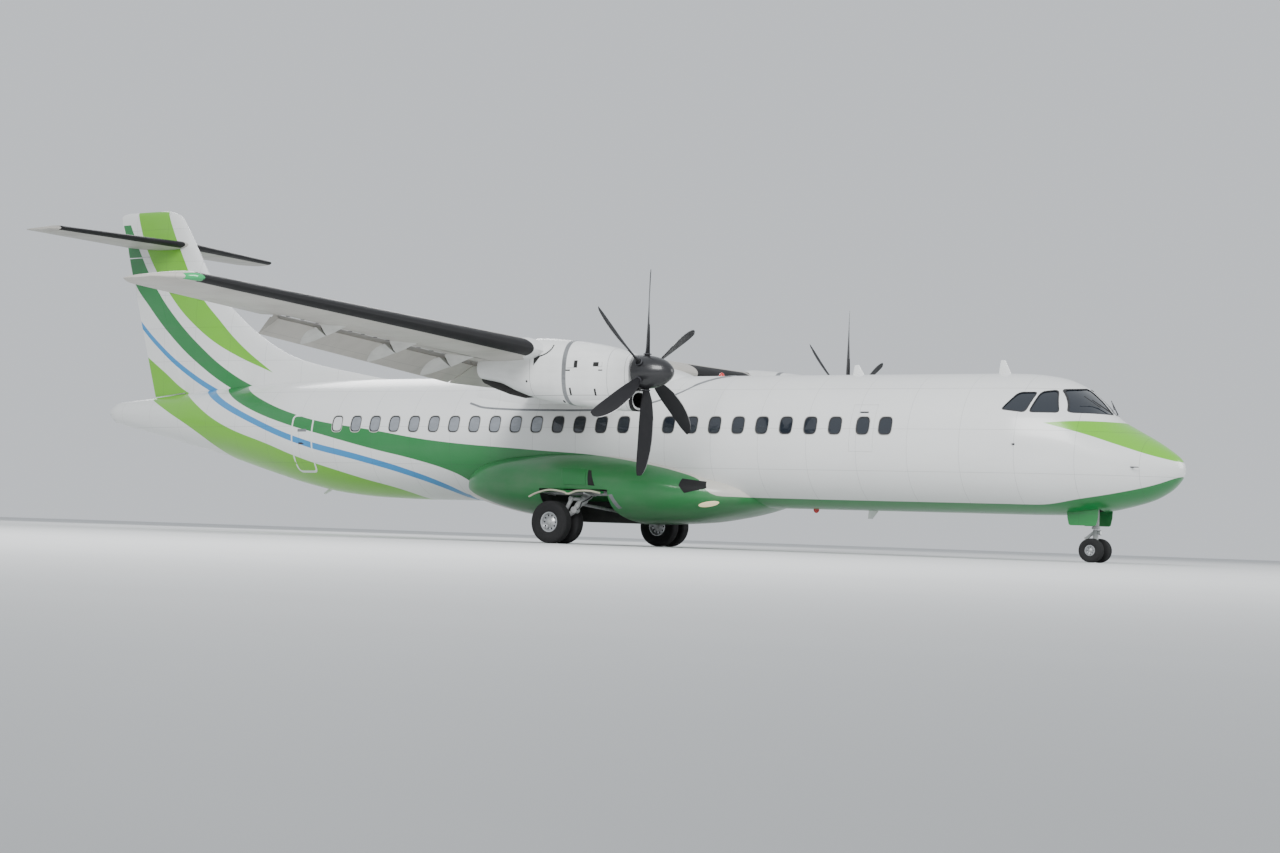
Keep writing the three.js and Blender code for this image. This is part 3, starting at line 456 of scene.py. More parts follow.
def lathe(profile: Points, centre: Vector, axis: Vector, sides: int) -> Piece:
    """A turned shape, filled at both ends unless its profile returns to its start.

    Args:
        profile: Distances along the axis and out from it.
        centre: Where the axis starts.
        axis: The axis' direction.
        sides: How many facets it has.

    Returns:
        The new object.
    """
    axis = axis.normalized()
    u = axis.orthogonal().normalized()
    v = axis.cross(u)
    rings = [turn(sides, lambda t, d=d, r=max(r, 1e-4): centre + axis * d + (u * cos(t) + v * sin(t)) * r)
             for d, r in profile]
    ring_shaped = profile[0] == profile[-1]
    return loft("lathe", rings[:-1] if ring_shaped else rings, around=ring_shaped)


class Shader:
    """Adds nodes to a material or node group and links them as it goes."""

    def __init__(self, tree: bpy.types.NodeTree) -> None:
        """Keeps the tree that the nodes go into."""
        self.tree = tree

    def node(self, kind: str, inputs: dict[Any, Any] | None = None, **settings: Any) -> bpy.types.Node:
        """Adds one node.

        Args:
            kind: Blender's name for the node's type.
            inputs: Values or other nodes' outputs, by the input's name or number.
            settings: Properties of the node itself.

        Returns:
            The new node.
        """
        made = self.tree.nodes.new(kind)
        for name, value in settings.items():
            setattr(made, name, value)
        for key, value in (inputs or {}).items():
            if isinstance(value, Socket):
                self.tree.links.new(value, made.inputs[key])
            else:
                made.inputs[key].default_value = value
        return made

    def math(self, operation: str, *values: Any, clamp: bool = False) -> Socket:
        """The result of one piece of arithmetic."""
        made = self.node("ShaderNodeMath", dict(enumerate(values)), operation=operation, use_clamp=clamp)
        return made.outputs[0]

    def mix(self, share: Any, a: Any, b: Any) -> Socket:
        """A colour between a and b."""
        return self.node("ShaderNodeMix", {0: share, 6: a, 7: b}, data_type="RGBA").outputs[2]

    def axes(self) -> Any:
        """The X, Y and Z of a place in the piece's own space."""
        space = self.node("ShaderNodeTexCoord").outputs["Object"]
        return self.node("ShaderNodeSeparateXYZ", {0: space}).outputs

    def noise(self, scale: Any, detail: float = 3.0, stretch: tuple[float, float, float] = (1, 1, 1)) -> Any:
        """Soft noise over the piece's own space, from 0 to 1."""
        space = self.node("ShaderNodeTexCoord").outputs["Object"]
        shape = self.node("ShaderNodeMapping", {"Vector": space, "Scale": stretch}).outputs[0]
        return self.node("ShaderNodeTexNoise", {"Vector": shape, "Scale": scale, "Detail": detail}).outputs[0]


def new_group(name: str, inputs: dict[str, float], *outputs: str) -> tuple[Shader, Any, Any]:
    """Starts a node group with number sockets.

    Args:
        name: The group's name.
        inputs: The input sockets and their usual values.
        outputs: The output sockets.

    Returns:
        A shader that adds to the group, its input node and its output node.
    """
    tree = bpy.data.node_groups.new(name, "ShaderNodeTree")
    for key, value in inputs.items():
        tree.interface.new_socket(key, in_out="INPUT", socket_type="NodeSocketFloat").default_value = value
    for key in outputs:
        tree.interface.new_socket(key, in_out="OUTPUT", socket_type="NodeSocketFloat")
    shader = Shader(tree)
    return shader, shader.node("NodeGroupInput").outputs, shader.node("NodeGroupOutput").inputs


def grime_group() -> bpy.types.NodeTree:
    """A mask of patchy dirt with streaks that run back with the air."""
    shader, given, out = new_group("Grime", {"Scale": 1.0, "Amount": 0.3}, "Mask")
    patches = shader.noise(given["Scale"], 5.0)
    streaks = shader.noise(given["Scale"], 4.0, (0.25, 2.5, 2.5))
    both = shader.math("MULTIPLY", patches, streaks)
    shaped = shader.math("SUBTRACT", shader.math("MULTIPLY", both, 3.2), 0.55, clamp=True)
    shader.tree.links.new(shader.math("MULTIPLY", shaped, given["Amount"]), out["Mask"])
    return shader.tree


def seam_group() -> bpy.types.NodeTree:
    """A mask of the thin joints between skin panels, at one pitch along and one in height."""
    shader, given, out = new_group("Panel joints", {"Along": 1.08, "Up": 0.72, "Width": 0.004}, "Mask")
    axes = shader.axes()
    masks = []
    for axis, pitch in (("X", "Along"), ("Z", "Up")):
        half = shader.math("MULTIPLY", given[pitch], 0.5)
        distance = shader.math("PINGPONG", axes[axis], half)
        masks.append(shader.math("LESS_THAN", distance, given["Width"]))
    shader.tree.links.new(shader.math("MAXIMUM", *masks), out["Mask"])
    return shader.tree


def grain_group() -> bpy.types.NodeTree:
    """A fine uneven height for orange peel in paint, cast metal and moulded rubber."""
    shader, given, out = new_group("Grain", {"Scale": 300.0, "Coarse": 20.0}, "Height")
    both = shader.math("ADD", shader.noise(given["Scale"], 2.0), shader.noise(given["Coarse"], 2.0))
    shader.tree.links.new(both, out["Height"])
    return shader.tree


GROUPS = {"grime": grime_group, "seams": seam_group, "grain": grain_group}
MADE_GROUPS: dict[str, bpy.types.NodeTree] = {}


def effect(shader: Shader, name: str, **values: float) -> Socket:
    """Places a shared effect in a material with its own values, and returns its first output."""
    if name not in MADE_GROUPS:
        MADE_GROUPS[name] = GROUPS[name]()
    made = shader.node("ShaderNodeGroup", node_tree=MADE_GROUPS[name])
    for key, value in values.items():
        made.inputs[key].default_value = value
    return made.outputs[0]


COAT_ROUGH = 0.12
DIRT_SHADE = 0.35
DIRT_FLOOR = 0.02
SEAM_SHADE = (0.03, 0.03, 0.035, 1)


@dataclass(frozen=True)
class Finish:
    """A surface's colour, gloss, dirt and grain.

    Its panel joints have an even pitch along and up, or stand on single lines of an axis and a place on it.
    """

    name: str
    colour: tuple[float, float, float]
    rough: float = 0.4
    metal: float = 0.0
    coat: float = 0.0
    dirt: float = 0.25
    dirt_scale: float = 1.2
    grain: float = 0.05
    grain_scale: float = 300.0
    pitch: tuple[float, float] | None = None
    lines: tuple[tuple[int, float], ...] = ()
    glow: float = 0.0
    shine: float = 0.5

    def paint(self, shader: Shader) -> Any:
        """The clean colour before dirt."""
        return (*self.colour, 1.0)

    def joints(self, shader: Shader) -> list[tuple[Socket, float]]:
        """The masks of the panel joints, each with how dark it is."""
        masks = []
        if self.pitch:
            masks.append((effect(shader, "seams", Along=self.pitch[0], Up=self.pitch[1]), 0.3))
        for axis, place in self.lines:
            masks.append((shader.math("COMPARE", shader.axes()[axis], place, 0.005), 0.5))
        return masks

    def material(self) -> bpy.types.Material:
        """Builds the material once and returns it."""
        if self.name in bpy.data.materials:
            return bpy.data.materials[self.name]
        made = bpy.data.materials.new(self.name)
        made.use_nodes = True
        shader = Shader(made.node_tree)
        surface = made.node_tree.nodes["Principled BSDF"].inputs
        settings = {"Metallic": self.metal, "Coat Weight": self.coat, "Coat Roughness": COAT_ROUGH,
                    "Specular IOR Level": self.shine, "Emission Strength": self.glow,
                    "Emission Color": (*self.colour, 1.0)}
        for key, value in settings.items():
            surface[key].default_value = value
        link = made.node_tree.links.new
        dirt = effect(shader, "grime", Scale=self.dirt_scale, Amount=self.dirt)
        dirty = [c * DIRT_SHADE + DIRT_FLOOR for c in self.colour]
        colour = shader.mix(dirt, self.paint(shader), (*dirty, 1.0))
        height = shader.math("MULTIPLY", effect(shader, "grain", Scale=self.grain_scale), self.grain)
        for seam, darkness in self.joints(shader):
            colour = shader.mix(shader.math("MULTIPLY", seam, darkness), colour, SEAM_SHADE)
            height = shader.math("SUBTRACT", height, seam)
        link(colour, surface["Base Color"])
        rough = shader.math("ADD", shader.math("MULTIPLY", dirt, 0.5), self.rough, clamp=True)
        link(rough, surface["Roughness"])
        bump = shader.node("ShaderNodeBump", {"Height": height, "Strength": 0.35, "Distance": 0.003})
        link(bump.outputs[0], surface["Normal"])
        return made


CURVE_LENGTH = 28.0
CURVE_HEIGHT = 8.0
CRISPNESS = 160.0
DARK_GREEN = (0.012, 0.2, 0.045)
LIGHT_GREEN = (0.16, 0.5, 0.02)
SKY_BLUE = (0.03, 0.26, 0.58)
WHITE = (0.8, 0.81, 0.8)


@dataclass(frozen=True)
class Livery(Finish):
    """White paint with sweeping bands; each band lies between two lines of station and height."""

    dark: tuple[Line, Line] = (
        ((0.01, 1.63), (0.42, 1.45), (0.95, 1.31), (1.63, 1.18), (2.61, 1.04), (3.99, 1.04), (9.08, 1.05),
         (9.53, 1.37), (10.0, 1.52), (10.75, 1.67), (11.89, 1.82), (13.66, 1.93), (16.17, 2.1), (17.95, 2.33),
         (19.63, 2.54), (20.38, 2.7), (21.2, 2.92), (22.44, 3.35), (23.26, 3.74), (24.14, 4.3), (25.12, 5.08),
         (25.82, 5.81), (26.43, 6.69), (26.8, 7.37)),
        ((0.0, 0.0), (14.98, 0.0), (15.18, 0.99), (15.51, 1.33), (15.9, 1.49), (16.65, 1.68), (17.91, 1.92),
         (19.66, 2.28), (20.31, 2.41), (21.91, 2.84), (23.13, 3.33), (24.26, 3.94), (25.15, 4.56),
         (26.03, 5.34), (26.62, 5.96), (26.85, 6.68), (27.1, 7.5)),
    )
    fin: tuple[Line, Line] = (
        ((21.9, 3.66), (22.9, 4.31), (23.64, 4.93), (24.41, 5.7), (24.96, 6.56), (25.45, 7.48), (25.6, 7.8)),
        ((21.9, 3.68), (23.3, 4.21), (24.47, 4.89), (25.37, 5.69), (26.15, 6.7), (26.49, 7.49), (26.6, 7.8)),
    )
    tail: tuple[Line, Line] = (
        ((16.97, 0.8), (17.3, 1.0), (18.39, 1.28), (20.31, 1.76), (21.03, 1.98), (22.57, 2.41), (24.16, 3.1),
         (24.68, 3.3), (25.43, 3.75), (26.16, 4.18), (27.1, 4.75)),
        ((21.4, 0.4), (22.59, 1.55), (23.13, 1.94), (23.76, 2.32), (24.56, 2.68), (25.59, 3.07), (27.1, 3.5)),
    )
    nose: tuple[Line, Line] = (
        ((0.0, 2.6), (1.66, 2.59), (2.29, 2.54), (2.6, 2.5)),
        ((0.04, 1.88), (0.43, 1.98), (1.0, 2.16), (1.58, 2.35), (2.29, 2.54), (2.6, 2.62)),
    )
    blue: Line = ((15.71, 0.89), (16.09, 1.11), (17.01, 1.42), (18.25, 1.71), (19.88, 2.03), (21.84, 2.61),
                  (23.41, 3.18), (24.73, 3.8), (25.77, 4.47), (26.4, 4.98), (27.1, 5.6))
    blue_width: float = 0.14

    def paint(self, shader: Shader) -> Socket:
        """White with the bands laid over it."""
        x, _, z = shader.axes()
        s = shader.math("SUBTRACT", NOSE_X, x)

        def above(line: Line) -> Socket:
            """How far the surface is above a line."""
            curve = shader.node("ShaderNodeFloatCurve", {"Value": shader.math("DIVIDE", s, CURVE_LENGTH)})
            curve.mapping.extend = "HORIZONTAL"
            points = curve.mapping.curves[0].points
            places = [(place / CURVE_LENGTH, height / CURVE_HEIGHT) for place, height in line]
            points[0].location, points[1].location = places[0], places[-1]
            for place in places[1:-1]:
                points.new(*place)
            for point in points:
                point.handle_type = "AUTO_CLAMPED"
            curve.mapping.update()
            return shader.math("SUBTRACT", z, shader.math("MULTIPLY", curve.outputs[0], CURVE_HEIGHT))

        def inside(distance: Socket) -> Socket:
            """A crisp mask of where a distance is above zero."""
            return shader.math("ADD", shader.math("MULTIPLY", distance, CRISPNESS), 0.5, clamp=True)

        colour = (*self.colour, 1.0)
        bands = (self.dark, self.fin, self.tail, self.nose)
        for (top, low), shade in zip(bands, (DARK_GREEN, LIGHT_GREEN, LIGHT_GREEN, LIGHT_GREEN)):
            under = inside(shader.math("MULTIPLY", above(top), -1.0))
            colour = shader.mix(shader.math("MULTIPLY", under, inside(above(low))), colour, (*shade, 1.0))
        stripe = shader.math("SUBTRACT", self.blue_width / 2, shader.math("ABSOLUTE", above(self.blue)))
        behind = inside(shader.math("SUBTRACT", s, self.blue[0][0]))
        return shader.mix(shader.math("MULTIPLY", inside(stripe), behind), colour, (*SKY_BLUE, 1.0))


HULL = Livery("hull_paint", WHITE, rough=0.28, coat=0.35, dirt=0.1, dirt_scale=0.8, pitch=(1.08, 0.8))
ENGINE_PAINT = Finish("nacelle_paint", WHITE, rough=0.3, coat=0.3, dirt=0.22, dirt_scale=2.5, lines=(
    (0, NOSE_X - 9.75), (0, NOSE_X - 9.4), (0, NOSE_X - 11.52), (2, 2.85)))
PLAIN_WHITE = Finish("plain_white", WHITE, rough=0.32, coat=0.3, dirt=0.15, dirt_scale=3)
NO_BAND = (((0.0, 0.0), (27.0, 0.0)), ((0.0, 0.0), (27.0, 0.0)))
BELLY_EDGE = ((0.0, 0.0), (12.0, 0.0), (12.9, 0.5), (13.9, 0.62), (15.0, 0.95), (15.3, 1.1), (15.6, 1.3),
              (16.0, 1.52))
BELLY = Livery("belly_paint", (0.66, 0.64, 0.58), rough=0.3, coat=0.35, dirt_scale=1.4,
               dark=(Livery.dark[0], BELLY_EDGE), tail=NO_BAND, fin=NO_BAND, nose=NO_BAND)
# The wing's grey paint is darkened partly as painted shade, to stand for the shade under the wing.
WING_PAINT_AND_PAINTED_SHADE = Finish("wing_paint_and_painted_shade", (0.47, 0.45, 0.41), rough=0.42, coat=0.1, dirt=0.3, pitch=(1.2, 3.0))
FAIRING_PAINT = Finish("hinge_fairing_paint", (0.58, 0.58, 0.55), coat=0.1, dirt=0.35, dirt_scale=4)
GREEN_PAINT = Finish("green_paint", DARK_GREEN, 0.3, coat=0.3, dirt=0.3, dirt_scale=1.6, pitch=(1.3, 0.9))
BOOT = Finish("boot_rubber", (0.012, 0.012, 0.013), rough=0.55, dirt=0.3, grain=0.3, grain_scale=500,
              shine=0.25)
SPINNER_BLACK = Finish("spinner_black", (0.014, 0.014, 0.016), rough=0.28, coat=0.4, dirt=0.25, dirt_scale=8)
BLADE_BLACK = Finish("blade_composite", (0.013, 0.013, 0.015), rough=0.5, dirt=0.35, dirt_scale=6, grain=0.1,
                     shine=0.22)
BLADE_EDGE = Finish("blade_edge_nickel", (0.4, 0.4, 0.4), rough=0.35, metal=0.9, dirt=0.4, dirt_scale=14)
# The gear's grey enamel is darkened partly as painted shade on the legs and wheels.
GEAR_ENAMEL_AND_PAINTED_SHADE = Finish("gear_enamel_and_painted_shade", (0.42, 0.43, 0.43), rough=0.38, metal=0.15, dirt=0.55, dirt_scale=9, grain=0.2)
CHROME = Finish("shock_chrome", (0.85, 0.86, 0.87), rough=0.08, metal=1.0, dirt=0.15, dirt_scale=20)
ALLOY = Finish("wheel_alloy", (0.62, 0.63, 0.64), rough=0.34, metal=0.75, dirt=0.5, dirt_scale=14, grain=0.25)
RUBBER = Finish("tyre_rubber", (0.018, 0.018, 0.019), 0.8, dirt=0.5, dirt_scale=10, grain=0.5, shine=0.3)
SEAL = Finish("window_seal", (0.02, 0.02, 0.022), rough=0.6, dirt=0.2, grain=0.2)
GLASS = Finish("dark_glass", (0.015, 0.02, 0.028), rough=0.06, coat=0.8, dirt=0.08, grain=0.0)
LINING = Finish("cabin_lining", (0.55, 0.53, 0.47), rough=0.65, dirt=0.35, grain=0.3, pitch=(0.5, 0.6))
# The bay primer is darkened to near-black as painted shade inside the wheel bays.
BAY_PRIMER_AND_PAINTED_SHADE = Finish("bay_primer_and_painted_shade", (0.035, 0.037, 0.034), rough=0.7, dirt=0.6, dirt_scale=5, grain=0.2,
                pitch=(0.25, 0.25))
BARE_METAL = Finish("engine_metal", (0.3, 0.29, 0.28), metal=0.85, dirt=0.55, dirt_scale=9, grain=0.2)
SHADE = Finish("window_shade", (0.26, 0.28, 0.31), rough=0.15, coat=0.7, dirt=0.5, dirt_scale=6)
BLIND = Finish("window_blind", (0.68, 0.69, 0.7), rough=0.3, coat=0.4, dirt=0.15, dirt_scale=6)
BAND_METAL = Finish("band_metal", (0.34, 0.35, 0.36), rough=0.32, metal=0.7, dirt=0.4, dirt_scale=12)
# Near-black, partly the exhaust's soot and partly painted shade of the gap between the nacelle and the flap.
SOOT_AND_PAINTED_SHADE = Finish("exhaust_soot_and_painted_shade", (0.02, 0.019, 0.018), rough=0.6, metal=0.3, dirt=0.4, dirt_scale=8, grain=0.2)
SEAM_GREY = Finish("seam_strip", (0.2, 0.21, 0.22), rough=0.5, dirt=0.3, dirt_scale=6, grain=0.2)
EDGE_BEIGE = Finish("door_edge", (0.52, 0.5, 0.38), rough=0.45, dirt=0.35, dirt_scale=9)
LENS = Finish("lamp_lens", (0.85, 0.87, 0.88), rough=0.1, coat=0.6, dirt=0.1, glow=0.15)
WARM_LENS = Finish("landing_lens", (0.9, 0.72, 0.45), rough=0.1, coat=0.6, dirt=0.1, glow=0.6)
RED_LENS = Finish("red_lens", (0.55, 0.02, 0.015), rough=0.12, coat=0.6, dirt=0.1)
GREEN_LENS = Finish("green_lens", (0.01, 0.35, 0.1), rough=0.12, coat=0.6, dirt=0.1)
# Near-black: painted shade inside openings, slots, drains, holes and the intake, and the dark seal beside the
# wing on the nacelle.
PAINTED_SHADE_AND_SEAL_BLACK = Finish("painted_shade_and_seal_black", (0.01, 0.01, 0.01), rough=0.7, dirt=0.2)
FLOOR_PAINT = Finish("floor_paint", (0.62, 0.63, 0.63), rough=0.75, dirt=0.06, dirt_scale=0.3)


@dataclass
class Opening:
    """A side opening with its panel: edges, heights, side (left is 1), wall, gap and swing.

    The swing is the hinge's distance to the left, its height and the panel's reach from it.
    """

    name: str
    s0: float
    s1: float
    z0: float
    z1: float
    side: int
    wall: float
    gap: float
    body: str = "airframe"
    reach: tuple[float, float, float] | None = None
    pocket: bool = False


@dataclass
class Fuselage:
    """The pressure hull with its nose, tail cone, doors, hold and cabin windows."""

    sections: tuple[tuple[str, float, float], ...] = (
        ("radome", 0.0, 0.9), ("cockpit_section", 0.9, 3.2), ("forward_fuselage", 3.2, 9.2),
        ("centre_fuselage", 9.2, 16.2), ("rear_fuselage", 16.2, 21.8), ("tail_cone", 21.8, LENGTH),
    )
    openings: tuple[Opening, ...] = (
        Opening("passenger_door", 19.3, 20.02, 1.41, 3.16, 1, 0.12, SEAM, "passenger_door",
                (1.112, 1.412, 1.742)),
        Opening("service_door", 19.665, 20.275, 1.41, 2.63, -1, 0.1, 0.003),
        Opening("cargo_door", 3.7, 4.975, 1.41, 2.94, 1, 0.12, SEAM, "cargo_door"),
        Opening("emergency_exit_left", 5.66, 6.17, 1.96, 2.87, 1, 0.08, 0.003, pocket=True),
        Opening("emergency_exit_right", 5.66, 6.17, 1.96, 2.87, -1, 0.08, 0.003, pocket=True),
    )
    windows: int = 26
    rear_window: float = 18.92
    window_pitch: float = 0.54
    window_z: float = 2.46
    window_half: tuple[float, float] = (0.145, 0.178)
    pane: Line = ((1.0, -0.02), (1.0, -0.01), (0.9, -0.0095), (0.4, -0.009), (0.02, -0.009))
    rubber: Line = ((0.86, -0.014), (0.86, -0.006), (0.9, -0.004), (1.005, 0.001), (1.005, -0.014))
    frame: Line = ((1.0, -0.012), (1.0, 0.001), (1.02, 0.003), (1.08, 0.0025), (1.1, -0.004))
    window_power: float = 3.4
    exit_window: float = 5.9
    grip_half: tuple[float, float] = (0.09, 0.02)
    exit_grip: float = 0.3
    floor_z: float = 1.41
    cabin_wall: float = 0.15
    nose_bay: tuple[float, float, float, float] = (1.48, 2.14, 0.33, 1.35)
    tail_hollow: tuple[float, float] = (20.75, 25.8)
    hold: tuple[float, float, float, float] = (3.56, 5.11, -0.9, 3.05)
    entrance: tuple[float, float, float, float] = (19.18, 20.4, -1.5, 3.2)
    relief: float = 0.05
    shaded_from: float = 13.3
    seam_line: Line = (
        (15.42, 2.92), (15.27, 2.88), (15.0, 2.82), (14.4, 2.785), (13.83, 2.77), (12.69, 2.76),
        (11.9, 2.775), (11.3, 2.81), (10.73, 2.95), (10.3, 3.12), (9.97, 3.33), (9.7, 3.46), (9.5, 3.52))

    def shell(self, s0: float, s1: float, grow: float = 0.0) -> Piece:
        """A closed length of the hull's outer form."""
        spots = {s0, s1}
        for a, b, spacing in ((0.0, 0.3, 0.03), (0.3, 3.9, 0.1), (3.9, 17.0, 0.8), (17.0, LENGTH, 0.2)):
            spots.update(s for s in steps(a, b, spacing) if s0 + 0.01 < s < s1 - 0.01)
        return loft("shell", [skin_ring(s, grow) for s in sorted(spots)])

    def room(self, s0: float, s1: float, y0: float, z1: float) -> Piece:
        """The space of the hold or the entrance, as a cutter with a lined wall."""
        space = painted(self.shell(s0 - 0.05, s1 + 0.05, -self.cabin_wall), LINING)
        return keep(space, block(s0, s1, y0, 1.5, self.floor_z, z1))

    def hole(self, d: Opening) -> Piece:
        """The cutter for a door's opening."""
        cutter = painted(block(d.s0, d.s1, 0.3 * d.side, 1.7 * d.side, d.z0, d.z1), LINING)
        if d.pocket:
            cut(cutter, self.shell(d.s0 - 0.05, d.s1 + 0.05, -d.wall - 0.001))
        return cutter

    def about_hinge(self, d: Opening, radius: float) -> Piece:
        """A round bar about a door's hinge."""
        y, z, _ = d.reach
        return painted(loft("swing", [hoop(s, y, z, radius, 160) for s in (d.s0, d.s1)]), HULL)

    def window_spots(self) -> list[tuple[float, int]]:
        """Station and side of every cabin window."""
        row = [self.rear_window - i * self.window_pitch for i in range(self.windows)]
        doors = [d for d in self.openings if not d.pocket]
        spots = [(s, side) for s in row for _, side in SIDES if abs(s - self.exit_window) > 0.3]
        spots += [(self.exit_window, side) for _, side in SIDES]
        return [(s, side) for s, side in spots
                if not any(d.side == side and d.s0 - 0.16 < s < d.s1 + 0.16 for d in doors)]

    def window_outline(self, s: float, scale: float = 1.0) -> Outline:
        """A window's rounded outline as stations and heights."""
        half_s, half_z = self.window_half
        return turn(28, lambda t: (s + bend(cos(t), self.window_power) * half_s * scale,
                                   self.window_z + bend(sin(t), self.window_power) * half_z * scale))

    def window_cuts(self, s0: float, s1: float) -> list[Piece]:
        """One cutter for all window recesses between two stations."""
        half = self.window_half[0]
        prisms = [prism("recess", self.window_outline(s), 1.2 * side, 1.5 * side)
                  for s, side in self.window_spots() if s0 - half < s < s1 + half]
        if not prisms:
            return []
        cutter = painted(joined("recesses", prisms), SEAL)
        return [cut(cutter, self.shell(s0 - 0.4, s1 + 0.4, -0.014))]

    def build_sections(self, wing: Piece) -> None:
        """Builds the six hull sections.

        Args:
            wing: The wing's whole form, which the centre section leaves room for.
        """
        for name, start, end in self.sections:
            piece = painted(self.shell(start, end), HULL)
            for tool in self.window_cuts(start, end) + self.section_cuts(name, wing):
                cut(piece, tool)
            piece.name = "hull_" + name
            placed(piece, "paint_white", name)

    def section_cuts(self, name: str, wing: Piece) -> list[Piece]:
        """What is taken out of one hull section beside its windows."""
        doors = {d.name: d for d in self.openings}
        s0, s1, half, top = self.nose_bay
        cuts = []
        if name == "cockpit_section":
            # The nose bay's walls take the near-black primer, painted shade inside the bay.
            cuts.append(painted(block(s0, s1, -half, half, 0.5, top), BAY_PRIMER_AND_PAINTED_SHADE))
            cuts += Cockpit().cuts(self)
        if name == "forward_fuselage":
            cuts.append(self.room(*self.hold))
            names = ("cargo_door", "emergency_exit_left", "emergency_exit_right")
            cuts += [self.hole(doors[name]) for name in names]
        if name == "centre_fuselage":
            cuts.append(wing)
        if name == "rear_fuselage":
            entrance = doors["passenger_door"]
            cuts += [self.room(*self.entrance), self.about_hinge(entrance, self.relief), self.hole(entrance),
                     self.hole(doors["service_door"])]
        if name in ("rear_fuselage", "tail_cone"):
            cuts.append(painted(self.shell(*self.tail_hollow, -self.cabin_wall), LINING))
        return cuts

    def build_doors(self) -> None:
        """Builds the door panels, with a handle on each."""
        for d in self.openings:
            panel = painted(self.shell(d.s0 - 0.3, d.s1 + 0.3), HULL)
            inner = painted(self.shell(d.s0 - 0.35, d.s1 + 0.35, -d.wall), LINING)
            cut(panel, inner)
            edge = block(d.s0 + d.gap, d.s1 - d.gap, 0.3 * d.side, 1.7 * d.side, d.z0 + d.gap, d.z1 - d.gap)
            keep(panel, painted(edge, HULL))
            if d.reach:
                keep(panel, self.about_hinge(d, d.reach[2]))
            if d.pocket:
                cut(panel, *self.window_cuts(d.s0 - 0.2, d.s1 + 0.2))
            panel.name = d.name + "_panel"
            placed(panel, "paint_white", d.name, body=d.body)
            self.build_handle(d)

    def build_handle(self, d: Opening) -> None:
        """Builds the flat handle in the middle of a door, or above the middle of an exit."""
        half_s, half_z = self.grip_half
        s = (d.s0 + d.s1) / 2
        z = (d.z0 + d.z1) / 2 + (self.exit_grip if d.pocket else 0.0)
        y0, y1 = ((skin_y(s, z) + lift) * d.side for lift in (-0.03, 0.004))
        grip = block(s - half_s, s + half_s, y0, y1, z - half_z, z + half_z)
        grip.name = d.name + "_handle"
        placed(painted(grip, BARE_METAL), "paint_white", body=d.body)

    def build_windows(self) -> None:
        """Builds the window panes and their frames, following the skin's curve."""
        for word, side in SIDES:
            panes, frames, rubbers = [], [], []
            for s, own in self.window_spots():
                if own != side:
                    continue
                finish = BLIND if s > self.rear_window - 0.1 else SHADE if s > self.shaded_from else GLASS

                def ring(scale: float, lift: float, s: float = s) -> list[Vector]:
                    """The window's outline on the skin."""
                    return [at(a, side * (skin_y(a, z) + lift), z) for a, z in self.window_outline(s, scale)]

                panes.append(painted(loft("pane", [ring(*row) for row in self.pane]), finish))
                rubbers.append(loft("rubber", [ring(*row) for row in self.rubber], around=True))
                frames.append(loft("frame", [ring(*row) for row in self.frame], around=True))
            placed(joined(f"cabin_windows_{word}", panes), "cockpit_glass", angle=50)
            seals = painted(joined(f"window_seals_{word}", rubbers), SEAL)
            placed(seals, "paint_white", angle=50)
            rims = painted(joined(f"window_frames_{word}", frames), FAIRING_PAINT)
            placed(rims, "paint_white", angle=50)

    def strip(self, name: str, path: Points, side: int, width: float, proud: float,
              closed: bool = False) -> Piece:
        """A thin strip laid on the hull's skin.

        Args:
            name: The object's name.
            path: Its middle line as stations and heights.
            side: Left is 1.
            width: How wide it is.
            proud: How far it stands off the skin.
            closed: Whether the path returns to its start.

        Returns:
            The strip.
        """
        rings, last = [], len(path) - 1
        for n, (s, z) in enumerate(path):
            before = path[n - 1] if n or closed else path[n]
            after = path[(n + 1) % (last + 1) if closed else min(n + 1, last)]
            ahead, up = (after[i] - before[i] for i in (0, 1))
            length = hypot(ahead, up)
            across = (-up / length * width / 2, ahead / length * width / 2)
            ring = []
            for share, lift in ((-1, -0.004), (-0.8, proud), (0.8, proud), (1, -0.004)):
                a, b = s + across[0] * share, z + across[1] * share
                ring.append(at(a, side * (skin_y(a, b) + lift), b + (lift * 2 if b > 3.3 else 0.0)))
            rings.append(ring)
        return loft(name, rings, around=closed)

    def build_trim(self) -> None:
        """Builds the seam under the wing's fairing and the rim and grille of the service door."""
        fine = [smooth_path(self.seam_line, i / 60) for i in range(61)]
        for word, side in SIDES:
            seam = painted(self.strip(f"fairing_seam_{word}", fine, side, 0.045, 0.006), SEAM_GREY)
            placed(seam, "paint_white")
        door = next(d for d in self.openings if d.name == "service_door")
        outline = rounded(oblong(door.s0, door.s1, door.z0, door.z1), 0.012, 0.11)
        pairs = zip(outline, outline[1:] + outline[:1])
        path = [tuple(a + (b - a) * i / 6 for a, b in zip(p, q)) for p, q in pairs for i in range(6)]
        rim = painted(self.strip("service_door_rim", path, -1, 0.05, 0.005, closed=True), PLAIN_WHITE)
        placed(rim, "paint_white")

        def on_skin(s: float, z: float, lift: float) -> Vector:
            """A point lifted off the right side."""
            return at(s, -(skin_y(s, z) + lift), z)

        grille = plate("service_grille", oblong(19.83, 20.1, 2.28, 2.34), on_skin, 0.003)
        placed(painted(grille, SEAM_GREY), "paint_white")


def smooth_path(points: Points, share: float) -> tuple[float, float]:
    """A point on a smooth line through a few points, at a share of the way along."""
    place = share * (len(points) - 1)
    n = min(int(place), len(points) - 2)
    t = place - n
    p, q = points[n], points[n + 1]
    before, after = points[max(n - 1, 0)], points[min(n + 2, len(points) - 1)]
    return tuple(curved(*four, t) for four in zip(before, p, q, after))


